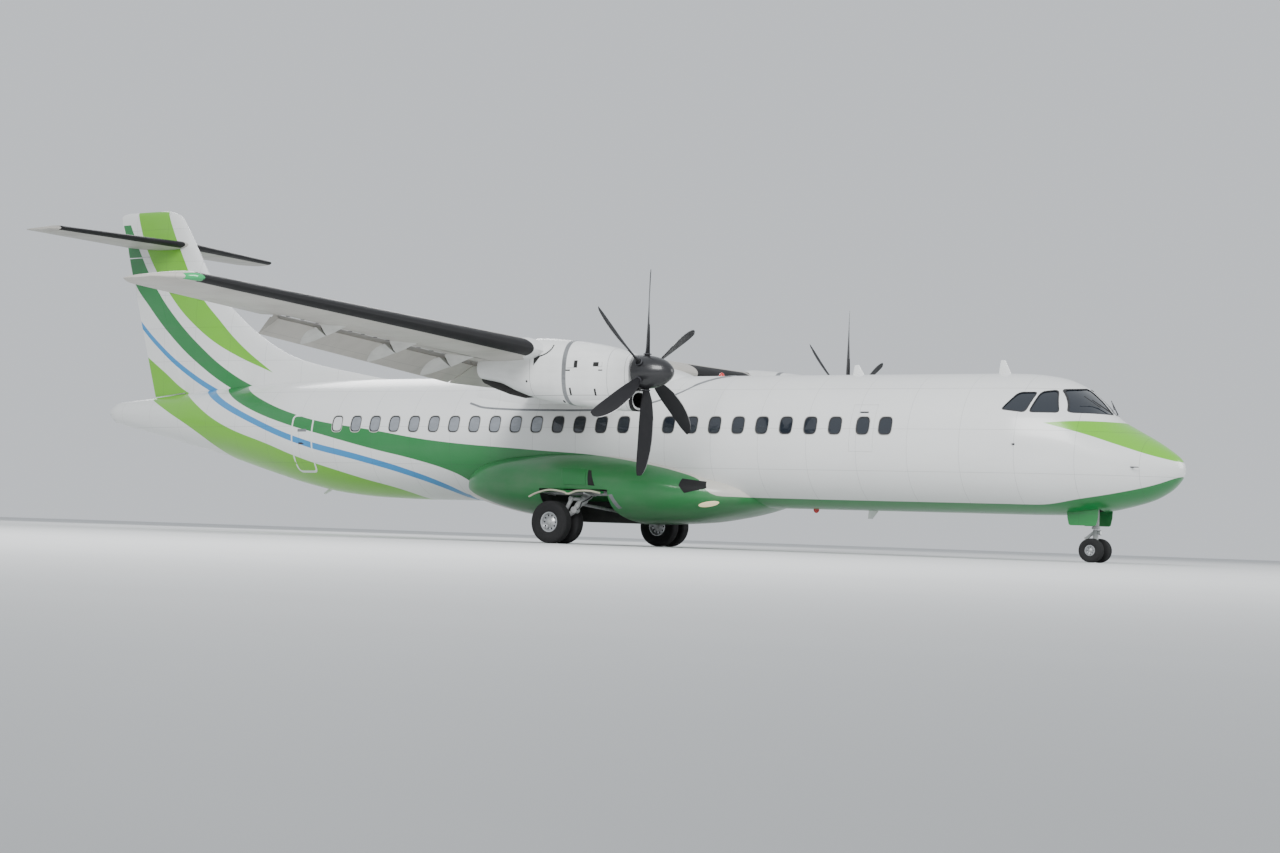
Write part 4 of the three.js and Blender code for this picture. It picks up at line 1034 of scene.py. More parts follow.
@dataclass
class Cockpit:
    """The cockpit's curved glazing behind white posts, with seals and wipers."""

    side_panes: tuple[Line, ...] = (
        ((2.065, 2.745), (2.58, 2.745), (2.47, 3.125), (2.215, 3.165)),
        ((2.66, 2.745), (3.11, 2.79), (2.87, 3.105), (2.55, 3.12)),
    )
    windscreen: Line = ((0.045, 2.755), (0.93, 2.745), (0.61, 3.18), (0.045, 3.23))
    windscreen_s: tuple[float, float] = (1.2, 2.5)
    band: Line = (
        (1.24, 2.69), (3.18, 2.69), (3.18, 3.18), (2.5, 3.27), (1.8, 3.29), (1.24, 3.0))
    depth: float = 0.014
    thick: float = 0.026
    seal: float = 0.022

    def panes(self, grow: float) -> list[Piece]:
        """Prisms through every pane, grown outwards by a distance."""
        out = []
        for _, side in SIDES:
            out += [prism("pane", rounded(pane, grow), 0.5 * side, 1.6 * side) for pane in self.side_panes]
            screen = rounded(self.windscreen, grow)
            out.append(loft("screen", [[at(s, y * side, z) for y, z in screen] for s in self.windscreen_s]))
        return out

    def layer(self, hull: Fuselage, outer: float, inner: float) -> Piece:
        """The cockpit's skin between two depths."""
        return cut(hull.shell(1.0, 3.19, outer), hull.shell(0.95, 3.195, inner))

    def cuts(self, hull: Fuselage) -> list[Piece]:
        """What the panes and the glass take out of the cockpit's skin."""
        hollow = painted(self.layer(hull, 0.06, -self.depth - 0.03), SEAL)
        cuts = [keep(painted(pane, SEAL), copied(hollow)) for pane in self.panes(0.0)]
        discard(hollow)
        return cuts

    def build(self, hull: Fuselage) -> None:
        """Builds the glass, the seals and the wipers."""
        layer = self.layer(hull, -self.depth, -self.depth - self.thick)
        panes = [keep(pane, copied(layer)) for pane in self.panes(-0.001)]
        discard(layer)
        glass = painted(joined("cockpit_glass", panes), GLASS)
        placed(glass, "cockpit_glass", "cockpit_glazing")
        rim = self.layer(hull, 0.0015, -0.01)
        seals = []
        for wide, narrow in zip(self.panes(self.seal), self.panes(0.0)):
            cut(wide, narrow)
            seals.append(keep(wide, copied(rim)))
        discard(rim)
        placed(painted(joined("cockpit_seals", seals), SEAL), "paint_white")
        for word, side in SIDES:
            foot, tip = Vector((NOSE_X - 1.36, 0.12 * side, 2.765)), Vector((NOSE_X - 1.62, 0.5 * side, 3.0))
            arm = joined(f"wiper_{word}", [rod(foot, tip, 0.012, 0.008), rod(
                tip + Vector((0.1, -0.16 * side, -0.13)), tip + Vector((-0.09, 0.17 * side, 0.06)), 0.007)])
            placed(painted(arm, SEAL), "paint_white")


def copied(piece: Piece) -> Piece:
    """A copy of a piece with its own mesh."""
    return linked(piece.name, piece.data.copy())


def discard(piece: Piece) -> None:
    """Removes a shape that was only needed while building."""
    bpy.data.objects.remove(piece)


class Frame(NamedTuple):
    """Where a wing section sits: leading edge, direction aft, direction up, chord, thickness and camber."""

    origin: Vector
    aft: Vector
    up: Vector
    chord: float
    thick: float
    camber: float = 0.0

    def mean(self, u: float) -> float:
        """Height of the mean line, in chords."""
        peak, x = 0.35, min(u, 1.0)
        front = self.camber / peak**2 * (2 * peak * x - x * x)
        rear = self.camber / (1 - peak) ** 2 * (1 - 2 * peak + 2 * peak * x - x * x)
        return front if x < peak else rear

    def half(self, u: float) -> float:
        """Half the thickness, in chords."""
        x = min(max(u, 0.0), 1.0)
        shape = 0.2969 * sqrt(x) - 0.126 * x - 0.3516 * x**2 + 0.2843 * x**3 - 0.1015 * x**4
        return 5 * self.thick * shape + FOIL_EDGE

    def point(self, u: float, v: float) -> Vector:
        """The point at u and v chords from the leading edge."""
        return self.origin + self.aft * (u * self.chord) + self.up * (v * self.chord)

    def surface(self, u: float, sign: int, grow: float = 0.0) -> Vector:
        """A point of the skin, above or below, grown outwards."""
        g = grow / self.chord
        ends = {0.0: -g, 1.0: g}
        return self.point(u + ends.get(u, 0.0), self.mean(u) + sign * (self.half(u) + g))

    def outline(self, grow: float = 0.0) -> list[Vector]:
        """The whole section."""
        us = [round(0.5 * (1 - cos(pi * i / FOIL_STEPS)), 6) for i in range(FOIL_STEPS + 1)]
        return [self.surface(u, 1, grow) for u in us] + [self.surface(u, -1, grow) for u in reversed(us)]

    @staticmethod
    def wrap(upper: float, lower: float, count: int) -> list[tuple[float, int]]:
        """Places round the leading edge, each with the side that it lies on."""
        above = [(upper * (1 - i / count) ** 2, 1) for i in range(count)]
        return above + [(lower * (i / count) ** 2, -1) for i in range(count + 1)]

    def boot(self, upper: float, lower: float, thick: float) -> list[Vector]:
        """A thin strip wrapped round the leading edge, as a closed outline."""
        ways = self.wrap(upper, lower, 8)
        outer = [self.surface(u, side, thick * (0.2 if n in (0, len(ways) - 1) else 1))
                 for n, (u, side) in enumerate(ways)]
        inner = [self.surface(u, side, -0.004) for u, side in reversed(ways)]
        return outer + inner


def span_loft(name: str, frames: Sequence[Frame], section: Callable[[Frame], Points]) -> Piece:
    """A body through sections given in chords."""
    return loft(name, [[f.point(u, v) for u, v in section(f)] for f in frames])


def hinged(whole: Piece, finish: Finish, frame_at: Callable[[float], Frame], hinge: float, start: float,
           end: float, gap: float = SEAM) -> tuple[Piece, Piece]:
    """Parts a surface at a hinge line.

    Args:
        whole: The full surface, which becomes the fixed part.
        finish: The finish of the cut faces.
        frame_at: Gives the section at a span station.
        hinge: The hinge line, in chords.
        start: Where the moving part begins along the span.
        end: Where it ends.
        gap: The room at each end of the moving part.

    Returns:
        The fixed part with a hollow rear edge and the moving part with a round nose.
    """
    def region(grow: float, inset: float) -> Piece:
        """The moving part's share of space, with a round nose about the hinge line."""
        def nose(f: Frame) -> Outline:
            """The nose's circle in one section."""
            r = f.half(hinge) + grow / f.chord
            return turn(40, lambda t: (hinge + r * cos(t), f.mean(hinge) + r * sin(t)))

        frames = [frame_at(start + inset), frame_at(end - inset)]
        box = span_loft("region", frames, lambda f: oblong(hinge, 1.4, -0.5, 0.5))
        return merge(box, span_loft("nose", frames, nose))

    moving = keep(copied(whole), painted(region(0.0, gap), finish))
    return cut(whole, painted(region(SEAM, 0.0), finish)), moving


@dataclass
class Wing:
    """The high wing with its lowered flaps, ailerons, hinge fairings, boots and lights."""

    root_y: float = 4.05
    tip_y: float = 13.08
    end_y: float = 13.525
    le: float = 11.22
    tip_le: float = 11.99
    chord: float = 2.57
    tip_chord: float = 1.59
    z: float = 3.7
    tip_z: float = 4.195
    incidence: float = radians(2)
    thick: float = 0.18
    tip_thick: float = 0.13
    camber: float = 0.022
    flap_front: float = 0.735
    flap_lip: float = 0.8
    lip_depth: float = 0.012
    flap_hinge: float = 0.72
    flap_drop: float = 0.12
    flap_down: float = radians(35)
    flap_side_gap: float = 0.02
    flap_spans: tuple[tuple[str, float, float], ...] = (("inner", 1.25, 4.05), ("outer", 4.05, 9.88))
    aileron_hinge: float = 0.76
    aileron_span: tuple[float, float] = (9.92, 12.98)
    fairing_spots: dict[str, tuple[float, ...]] = field(
        default_factory=lambda: {"inner": (2.6,), "outer": (5.0, 6.7, 8.7)})
    front_fairing: Rows = (
        (0.5, 0.02, 0.02, 0.03), (0.54, 0.06, 0.05, 0.03), (0.58, 0.1, 0.09, 0.03), (0.62, 0.14, 0.14, 0.03),
        (0.66, 0.18, 0.18, 0.03), (0.716, 0.22, 0.235, 0.03))
    rear_fairing: Rows = (
        (0.7245, 0.22, 0.235, -0.012), (0.744, 0.235, 0.215, -0.012), (0.76, 0.25, 0.2, 0.025),
        (0.81, 0.27, 0.17, 0.02), (0.86, 0.25, 0.135, 0.015), (0.92, 0.17, 0.09, 0.009),
        (0.985, 0.04, 0.03, 0.003))
    fairing_power: float = 1.25
    strut: tuple[float, float] = (0.7212, 0.032)
    strips: Line = ((5.22, 6.46), (6.96, 8.44), (8.98, 9.8))
    strip_back: tuple[float, float] = (0.694, 0.726)
    strip_rib: float = 0.42
    cuff_rows: Rows = ((4.42, 0.2, 0.03), (4.55, 0.17, 0.018), (4.66, 0.14, 0.009), (4.735, 0.12, 0.005))
    wick_y: tuple[float, ...] = (11.4, 12.1, 12.8)
    roof: tuple[Oval, ...] = ovals(
        (10.42, 3.47, 2.9, 0.42), (10.8, 3.6, 2.9, 0.78), (11.3, 3.74, 2.9, 1.1), (12.0, 3.79, 2.9, 1.21),
        (13.6, 3.64, 2.9, 1.215), (14.5, 3.57, 2.9, 1.16), (15.33, 3.48, 2.9, 1.08))

    def frame_at(self, y: float) -> Frame:
        """The wing's section at a distance from the middle."""
        t = max(0.0, (y - self.root_y) / (self.tip_y - self.root_y))
        lower, level = sin(self.incidence), cos(self.incidence)
        return Frame(at(mixed(self.le, self.tip_le, t), y, mixed(self.z, self.tip_z, t)),
                     Vector((-level, 0, -lower)), Vector((-lower, 0, level)),
                     mixed(self.chord, self.tip_chord, t), mixed(self.thick, self.tip_thick, t), self.camber)

    def tip_at(self, t: float) -> Frame:
        """The section of the tip, which narrows towards its trailing edge."""
        f = self.frame_at(self.tip_y)
        lost = 0.62 * t**2.2
        origin = f.origin + Vector((-f.chord * lost * 0.85, (self.end_y - self.tip_y) * t, 0.02 * t))
        return f._replace(origin=origin, chord=f.chord * (1 - lost), thick=f.thick * (1 - 0.4 * t * t))

    def outer(self, start: float, grow: float = 0.0) -> Piece:
        """The whole outer wing from a distance out to the tip."""
        frames = [self.frame_at(start), self.frame_at(self.tip_y)]
        frames += [self.tip_at(i / 10) for i in range(1, 11)]
        return painted(loft("outer", [f.outline(grow) for f in frames]), WING_PAINT_AND_PAINTED_SHADE)

    def centre(self, y0: float, y1: float, grow: float = 0.0) -> Piece:
        """The straight wing between two distances."""
        return painted(loft("centre", [self.frame_at(y).outline(grow) for y in (y0, y1)]), WING_PAINT_AND_PAINTED_SHADE)

    def envelope(self) -> Piece:
        """The whole wing near the hull and nacelles, grown by the fitting gap."""
        return painted(self.centre(-self.root_y - 1.5, self.root_y + 1.5, 0.001), SEAL)

    def flap_region(self, y0: float, y1: float, grow: float, gap: float) -> Piece:
        """The flap's share of the wing, with the skin reaching over its nose as a lip."""
        def section(f: Frame) -> Outline:
            """The share at one section."""
            g = grow / f.chord

            def under(u: float) -> float:
                """The lower side of the lip."""
                return f.mean(u) + f.half(u) - self.lip_depth - g
            front, lip = self.flap_front, self.flap_lip
            return [(front + g, -0.4), (1.3, -0.4), (1.3, 0.4), (lip + g, 0.4), (lip + g, under(lip)),
                    (front + 0.022 + g, under(front)), (front + 0.008 + g, under(front) - 0.007),
                    (front + g, under(front) - 0.025)]
        return span_loft("flap", [self.frame_at(y0 + gap), self.frame_at(y1 - gap)], section)

    def lowered(self, y0: float, y1: float) -> Matrix:
        """The turn that lowers a flap."""
        a, b = (self.frame_at(y).point(self.flap_hinge, -self.flap_drop) for y in (y0, y1))
        turned = Matrix.Rotation(-self.flap_down, 4, (b - a).normalized())
        return Matrix.Translation(a) @ turned @ Matrix.Translation(-a)

    def under_skin(self, y: float, u: float, rise: float) -> Vector:
        """A point above or below the wing's lower skin."""
        f = self.frame_at(y)
        return f.point(u, f.mean(u) - f.half(u) + rise / f.chord)

    def fairing(self, y: float, rows: Rows) -> Piece:
        """A boat-shaped fairing over one flap hinge."""
        f = self.frame_at(y)
        size, power = f.chord / self.chord, self.fairing_power
        rings = []
        for u, half, depth, top in rows:
            skin = (f.mean(u) - f.half(u)) * f.chord
            high, low = skin + top, skin - depth * size
            middle = min(high, skin) - 0.004
            belly = [(bend(cos(t), power), middle + bend(sin(t), power) * (middle - low))
                     for t in (pi + pi * i / 14 for i in range(15))]
            ring = [(-1.0, high)] + belly + [(1.0, high)]
            rings.append([self.under_skin(y + across * half * size, u, v - skin) for across, v in ring])
        return painted(loft("fairing", rings), FAIRING_PAINT)

    def strut_at(self, y: float) -> Piece:
        """The dark upright link on the front of a flap's fairing."""
        front, half = self.strut
        back, _, depth, top = self.rear_fairing[0]
        low = half - depth * self.frame_at(y).chord / self.chord
        corners = ((front, -1), (front, 1), (back, 1), (back, -1))
        rings = [[self.under_skin(y + across * width, u, rise) for u, across in corners]
                 for rise, width in ((low, half * 0.5), (top, half))]
        return painted(loft("strut", rings), SEAL)

    def underside(self, y0: float, y1: float, lift: float) -> Piece:
        """A thin strip under the wing's rear edge, between two distances."""
        u0, u1 = self.strip_back
        spots = [u0 + (u1 - u0) * i / 4 for i in range(5)]
        rings = []
        for y in (y0, y1):
            f = self.frame_at(y)
            rings.append([f.surface(u, -1, lift) for u in spots]
                         + [f.surface(u, -1, -0.003) for u in reversed(spots)])
        return loft("strip", rings)

    def boots(self, name: str, frames: list[Frame]) -> Piece:
        """The black de-icing boot along a leading edge."""
        return painted(loft(name, [f.boot(0.1, 0.085, 0.0025) for f in frames]), BOOT)

    def cuff(self) -> Piece:
        """The white collar round the leading edge beside the nacelle."""
        rings = [self.frame_at(y).boot(back, back * 0.9, thick) for y, back, thick in self.cuff_rows]
        return painted(loft("cuff", rings), PLAIN_WHITE)

    def build(self) -> None:
        """Builds every wing piece on the left and its twin on the right, then the middle and the lights."""
        pieces: dict[str, tuple[Piece, str, tuple[str, ...]]] = {}
        for name, *span in self.flap_spans:
            flap, struts = self.flap(name, *span)
            pieces[f"flap_{name}_strut"] = (struts, f"flap_{name}", ())
            pieces[f"flap_{name}"] = (flap, "own", (f"flap_{name}",))
        (_, *inner_span), (_, *outer_span) = self.flap_spans
        outer = self.outer(self.root_y + FIT)
        outer, aileron = hinged(outer, WING_PAINT_AND_PAINTED_SHADE, self.frame_at, self.aileron_hinge, *self.aileron_span)
        cut(outer, painted(self.flap_region(*outer_span, 0.0, 0.0), WING_PAINT_AND_PAINTED_SHADE))
        for y in self.fairing_spots["outer"]:
            merge(outer, self.fairing(y, self.front_fairing))
        pieces["aileron"] = (aileron, "own", ("aileron",))
        pieces["wing_outer"] = (outer, "airframe", ("wing_outer",))
        frames = [self.frame_at(4.74), self.frame_at(self.tip_y)] + [self.tip_at(t / 10) for t in range(1, 3)]
        pieces["wing_boot"] = (self.boots("wing_boot", frames), "airframe", ())
        inner = [self.frame_at(1.22), self.frame_at(3.54)]
        pieces["wing_boot_inner"] = (self.boots("wing_boot_inner", inner), "airframe", ())
        pieces["wing_cuff"] = (self.cuff(), "airframe", ())
        pieces["static_wick"] = (self.wicks(), "aileron", ())
        strips = [self.underside(y0, y1, 0.004) for y0, y1 in self.strips]
        pieces["slot_strip"] = (painted(joined("strips", strips), PLAIN_WHITE), "airframe", ())
        ribs = [self.underside(y - 0.02, y + 0.02, 0.01) for y0, y1 in self.strips
                for y in steps(y0 + 0.02, y1 - 0.02, self.strip_rib)]
        pieces["slot_rib"] = (painted(joined("ribs", ribs), SEAL), "airframe", ())
        for label, (left, body, nodes) in pieces.items():
            right = mirrored(left, label + "_right")
            left.name = label + "_left"
            for word, piece in (("left", left), ("right", right)):
                rider = {"own": f"{label}_{word}", "airframe": body}.get(body, f"{body}_{word}")
                slot = "tyre" if "boot" in label else "paint_wing"
                placed(piece, slot, *(f"{node}_{word}" for node in nodes), body=rider, angle=28)
        self.build_middle(inner_span)
        self.build_lights()

    def flap(self, name: str, y0: float, y1: float) -> tuple[Piece, Piece]:
        """A lowered flap with its fairings, and the links on the fairings' fronts."""
        flap = self.centre(y0, y1) if name == "inner" else self.outer(y0)
        region = self.flap_region(y0, y1, SEAM, self.flap_side_gap)
        keep(flap, painted(region, WING_PAINT_AND_PAINTED_SHADE))
        for y in self.fairing_spots[name]:
            merge(flap, self.fairing(y, self.rear_fairing))
        struts = painted(joined("struts", [self.strut_at(y) for y in self.fairing_spots[name]]), SEAL)
        for piece in (flap, struts):
            piece.data.transform(self.lowered(y0, y1))
        return flap, struts

    def build_middle(self, span: Sequence[float]) -> None:
        """Builds the wing over the hull, with room for the inner flaps.

        Args:
            span: The inner flap's two ends along the span.
        """
        middle = self.centre(-self.root_y, self.root_y)
        room = self.flap_region(*span, 0.0, 0.0)
        twin = mirrored(room, "room")
        cut(middle, painted(room, WING_PAINT_AND_PAINTED_SHADE), painted(twin, WING_PAINT_AND_PAINTED_SHADE))
        spot = self.fairing_spots["inner"][0]
        for _, side in SIDES:
            merge(middle, self.fairing(spot * side, self.front_fairing))
        middle.name = "wing_middle"
        placed(middle, "paint_wing", "wing_centre", angle=28)

    def wicks(self) -> Piece:
        """The thin static dischargers on an aileron's trailing edge."""
        rods = []
        for y in self.wick_y:
            f = self.frame_at(y)
            rods.append(rod(f.point(0.995, f.mean(1)), f.point(1.075, f.mean(1) + 0.004), 0.004, 0.002, 8))
        return painted(joined("wicks", rods), SEAL)

    def build_lights(self) -> None:
        """Builds the position lights at the leading corners of the tips."""
        for (word, side), lens in zip(SIDES, (RED_LENS, GREEN_LENS)):
            rings = []
            for i in range(9):
                t = 0.05 + 0.5 * i / 8
                f = self.tip_at(t)
                lift = 0.006 * sin(pi * i / 8) + 0.001
                strip = f.wrap(0.05, 0.05, 6)
                ring = [f.surface(u, s, lift) for u, s in strip]
                ring += [f.surface(u, s, -0.006) for u, s in reversed(strip)]
                rings.append([Vector((p.x, p.y * side, p.z)) for p in ring])
            light = painted(loft(f"position_light_{word}", rings), lens)
            placed(light, "cockpit_glass", angle=60)

    def build_roof(self, hull: Fuselage) -> None:
        """Builds the fairing between the wing and the hull's roof."""
        rings = []
        for s in steps(self.roof[0].s, self.roof[-1].s, 0.14):
            row = oval_at(self.roof, s)
            arch = [pi * i / 40 for i in range(41)]
            rings.append([at(s, copysign(abs(cos(t)) ** 0.62, cos(t)) * row.half,
                             2.9 + abs(sin(t)) ** 0.62 * (row.top - 2.9)) for t in arch])
        roof = painted(loft("wing_root_fairing", rings), HULL)
        cut(roof, hull.shell(9.3, 16.1, 0.001), self.envelope())
        keep_largest(roof)
        placed(roof, "paint_white", "wing_fairing")


def keep_largest(piece: Piece) -> Piece:
    """Drops the loose slivers that a cut can leave beside a piece."""
    bm = bmesh.new()
    bm.from_mesh(piece.data)
    left = set(bm.faces)
    groups = []
    while left:
        group, queue = set(), [left.pop()]
        while queue:
            face = queue.pop()
            group.add(face)
            near = {f for e in face.edges for f in e.link_faces} & left
            left -= near
            queue.extend(near)
        groups.append(group)
    groups.sort(key=lambda g: sum(f.calc_area() for f in g))
    bmesh.ops.delete(bm, geom=[f for g in groups[:-1] for f in g], context="FACES")
    bm.to_mesh(piece.data)
    bm.free()
    return piece


@dataclass
class Nacelle:
    """An engine nacelle with its chin intake, louvres and exhaust, made on the left."""

    y: float = 4.05
    table: tuple[Oval, ...] = ovals(
        (9.33, 3.64, 2.95, 0.34), (9.52, 3.7, 2.8, 0.4), (9.97, 3.815, 2.66, 0.455),
        (10.46, 3.895, 2.66, 0.475), (11.05, 3.96, 2.715, 0.48), (11.5, 3.985, 2.79, 0.475),
        (12.0, 3.93, 2.935, 0.445), (12.45, 3.83, 3.11, 0.38), (12.93, 3.64, 3.2, 0.27))
    chin: tuple[Oval, ...] = ovals(
        (9.27, 2.96, 2.58, 0.28), (9.42, 2.98, 2.565, 0.295), (9.8, 3.0, 2.585, 0.305),
        (10.46, 3.0, 2.66, 0.32))
    intake: tuple[Oval, ...] = (Oval(9.2, 2.925, 2.615, 0.245), Oval(9.8, 2.88, 2.7, 0.215))
    lip: Line = ((9.4, 0.006), (9.32, 0.014), (9.275, 0.012), (9.258, 0.0), (9.275, -0.016), (9.34, -0.02))
    power: float = 2.5
    band: tuple[float, float] = (10.665, 10.765)
    exhaust: tuple[tuple[float, float, float], ...] = (
        (11.75, 2.95, 0.1), (12.0, 2.975, 0.145), (12.35, 3.06, 0.16), (12.7, 3.17, 0.16),
        (12.98, 3.27, 0.15))
    exhaust_y: float = -0.1
    split: float = 11.05
    wall: float = 0.045
    shaft_hole: float = 0.175
    shaft_z: float = 3.308
    drum: tuple[float, float, float, float, float] = (9.519, 11.601, 0.291, 2.879, 3.481)
    louvres: Rows = (
        (10.41, 10.63, 3.37, 3.51, 10.485, 10.63), (9.86, 10.06, 3.39, 3.475, 9.86, 9.93))
    slots: tuple[tuple[float, float, float, float], ...] = (
        (10.56, 10.6, 2.85, 2.99), (10.0, 10.04, 2.84, 2.97), (10.57, 10.68, 3.31, 3.335),
        (9.85, 9.94, 3.31, 3.33))
    drains: Line = ((10.83, 2.74), (9.4, 2.93), (11.6, 3.12))
    wing_seal: Line = (
        (11.04, 3.82), (11.06, 3.74), (11.13, 3.67), (11.22, 3.625), (11.34, 3.59))
    seal_end: Line = ((11.28, 3.6), (11.43, 3.58), (11.43, 3.42))

    def shell(self, s0: float, s1: float, grow: float = 0.0) -> Piece:
        """A closed length of the nacelle's outer form."""
        return loft("shell", [oval_ring(s, oval_at(self.table, s), self.power, self.y, 64, grow)
                              for s in steps(s0, s1, 0.06)])

    def scoop(self, table: tuple[Oval, ...], power: float) -> Piece:
        """The chin or the intake's hole."""
        return loft("scoop", [oval_ring(s, oval_at(table, s), power, self.y, 48)
                              for s in steps(table[0].s, table[-1].s, 0.05)])

    def details(self) -> list[tuple[Piece, str]]:
        """The louvres, slots, drains, metal band, exhaust and intake lip."""
        doors, dark = [], []
        for _, side in SIDES:
            def place(s: float, z: float, lift: float, side: int = side) -> Vector:
                """A point lifted off this side."""
                return lifted(oval_at(self.table, s), self.power, self.y, side, z, lift)

            # Near-black plates lifted off the skin are painted shade inside the louvre openings, slots and
            # drains; the hose and plate beside the wing are a dark seal.
            for s0, s1, z0, z1, *door in self.louvres + self.slots:
                dark.append(plate("dark", oblong(s0, s1, z0, z1), place, 0.002))
                if door:
                    doors.append(plate("door", oblong(*door, z0, z1), place, 0.016))
            spots = [round_outline(s, z, 0.022, 0.022) for s, z in self.drains]
            dark += [plate("drain", spot, place, 0.003, 1) for spot in spots]
            dark.append(hose([place(s, z, 0.002) for s, z in self.wing_seal], 0.012))
            dark.append(plate("seal_end", self.seal_end, place, 0.003))
        lip = [oval_ring(s, Oval(s, 2.965, 2.575, 0.275), 2.3, self.y, 48, grow) for s, grow in self.lip]
        ring = painted(loft("intake_lip", lip, around=True), BOOT)
        s0, s1 = self.band
        edges = ((s0, -0.004), (s0 + 0.004, 0.004), (s1 - 0.004, 0.004), (s1, -0.004))
        rings = [oval_ring(s, oval_at(self.table, s), self.power, self.y, 64, grow) for s, grow in edges]
        band = painted(loft("metal_band", rings, around=True), BAND_METAL)
        # The exhaust pipe lies along the nacelle's lower rear; its near-black is partly soot and partly
        # painted shade of the gap before the flap.
        last, height, radius = self.exhaust[-1]
        rows = (*self.exhaust, (last, height, radius - 0.012), (last - 0.15, height, radius - 0.03))
        pipe = [hoop(s, self.y + self.exhaust_y, z, r, 36) for s, z, r in rows]
        exhaust = painted(loft("exhaust", pipe), SOOT_AND_PAINTED_SHADE)
        return [(painted(joined("louvre_doors", doors), PLAIN_WHITE), "paint_white"),
                (painted(joined("louvre_openings", dark), PAINTED_SHADE_AND_SEAL_BLACK), "blade_black"),
                (ring, "blade_black"), (band, "engine_metal"), (exhaust, "engine_metal")]

    def build(self, wing: Wing) -> None:
        """Builds both nacelles."""
        first = self.table[0].s
        cowl = painted(self.shell(first, self.split), ENGINE_PAINT)
        merge(cowl, painted(self.scoop(self.chin, 2.4), ENGINE_PAINT))
        inside = painted(self.shell(first + self.wall, self.split + 0.01, -self.wall), BARE_METAL)
        shaft = [at(s, self.y, self.shaft_z) for s in (9.2, 9.5)]
        hole = painted(rod(*shaft, self.shaft_hole, sides=48), BARE_METAL)
        # The intake's inner walls take the near-black of painted shade.
        cut(cowl, inside, hole, painted(self.scoop(self.intake, 2.2), PAINTED_SHADE_AND_SEAL_BLACK))
        keep_largest(cowl)
        rear = painted(self.shell(self.split + FIT, self.table[-1].s), ENGINE_PAINT)
        s0, s1, half, low, high = self.drum
        drum = loft("drum", [oval_ring(s, Oval(s, high, low, half), 2, self.y, 32) for s in (s0, s1)])
        cut(rear, wing.envelope(), painted(drum, BARE_METAL))
        keep_largest(rear)
        parts = [(cowl, "nacelle_cowl", "paint_white", True), (rear, "nacelle_rear", "paint_white", True)]
        parts += [(piece, "nacelle_" + piece.name, slot, False) for piece, slot in self.details()]
        for left, name, slot, stands in parts:
            right = mirrored(left, f"{name}_skin_right")
            left.name = f"{name}_skin_left"
            placed(left, slot, *([f"{name}_left"] if stands else []))
            placed(right, slot, *([f"{name}_right"] if stands else []))
        for word, _ in SIDES:
            engine = frame["nodes"][f"engine_{word}"]
            painted(engine, BARE_METAL)


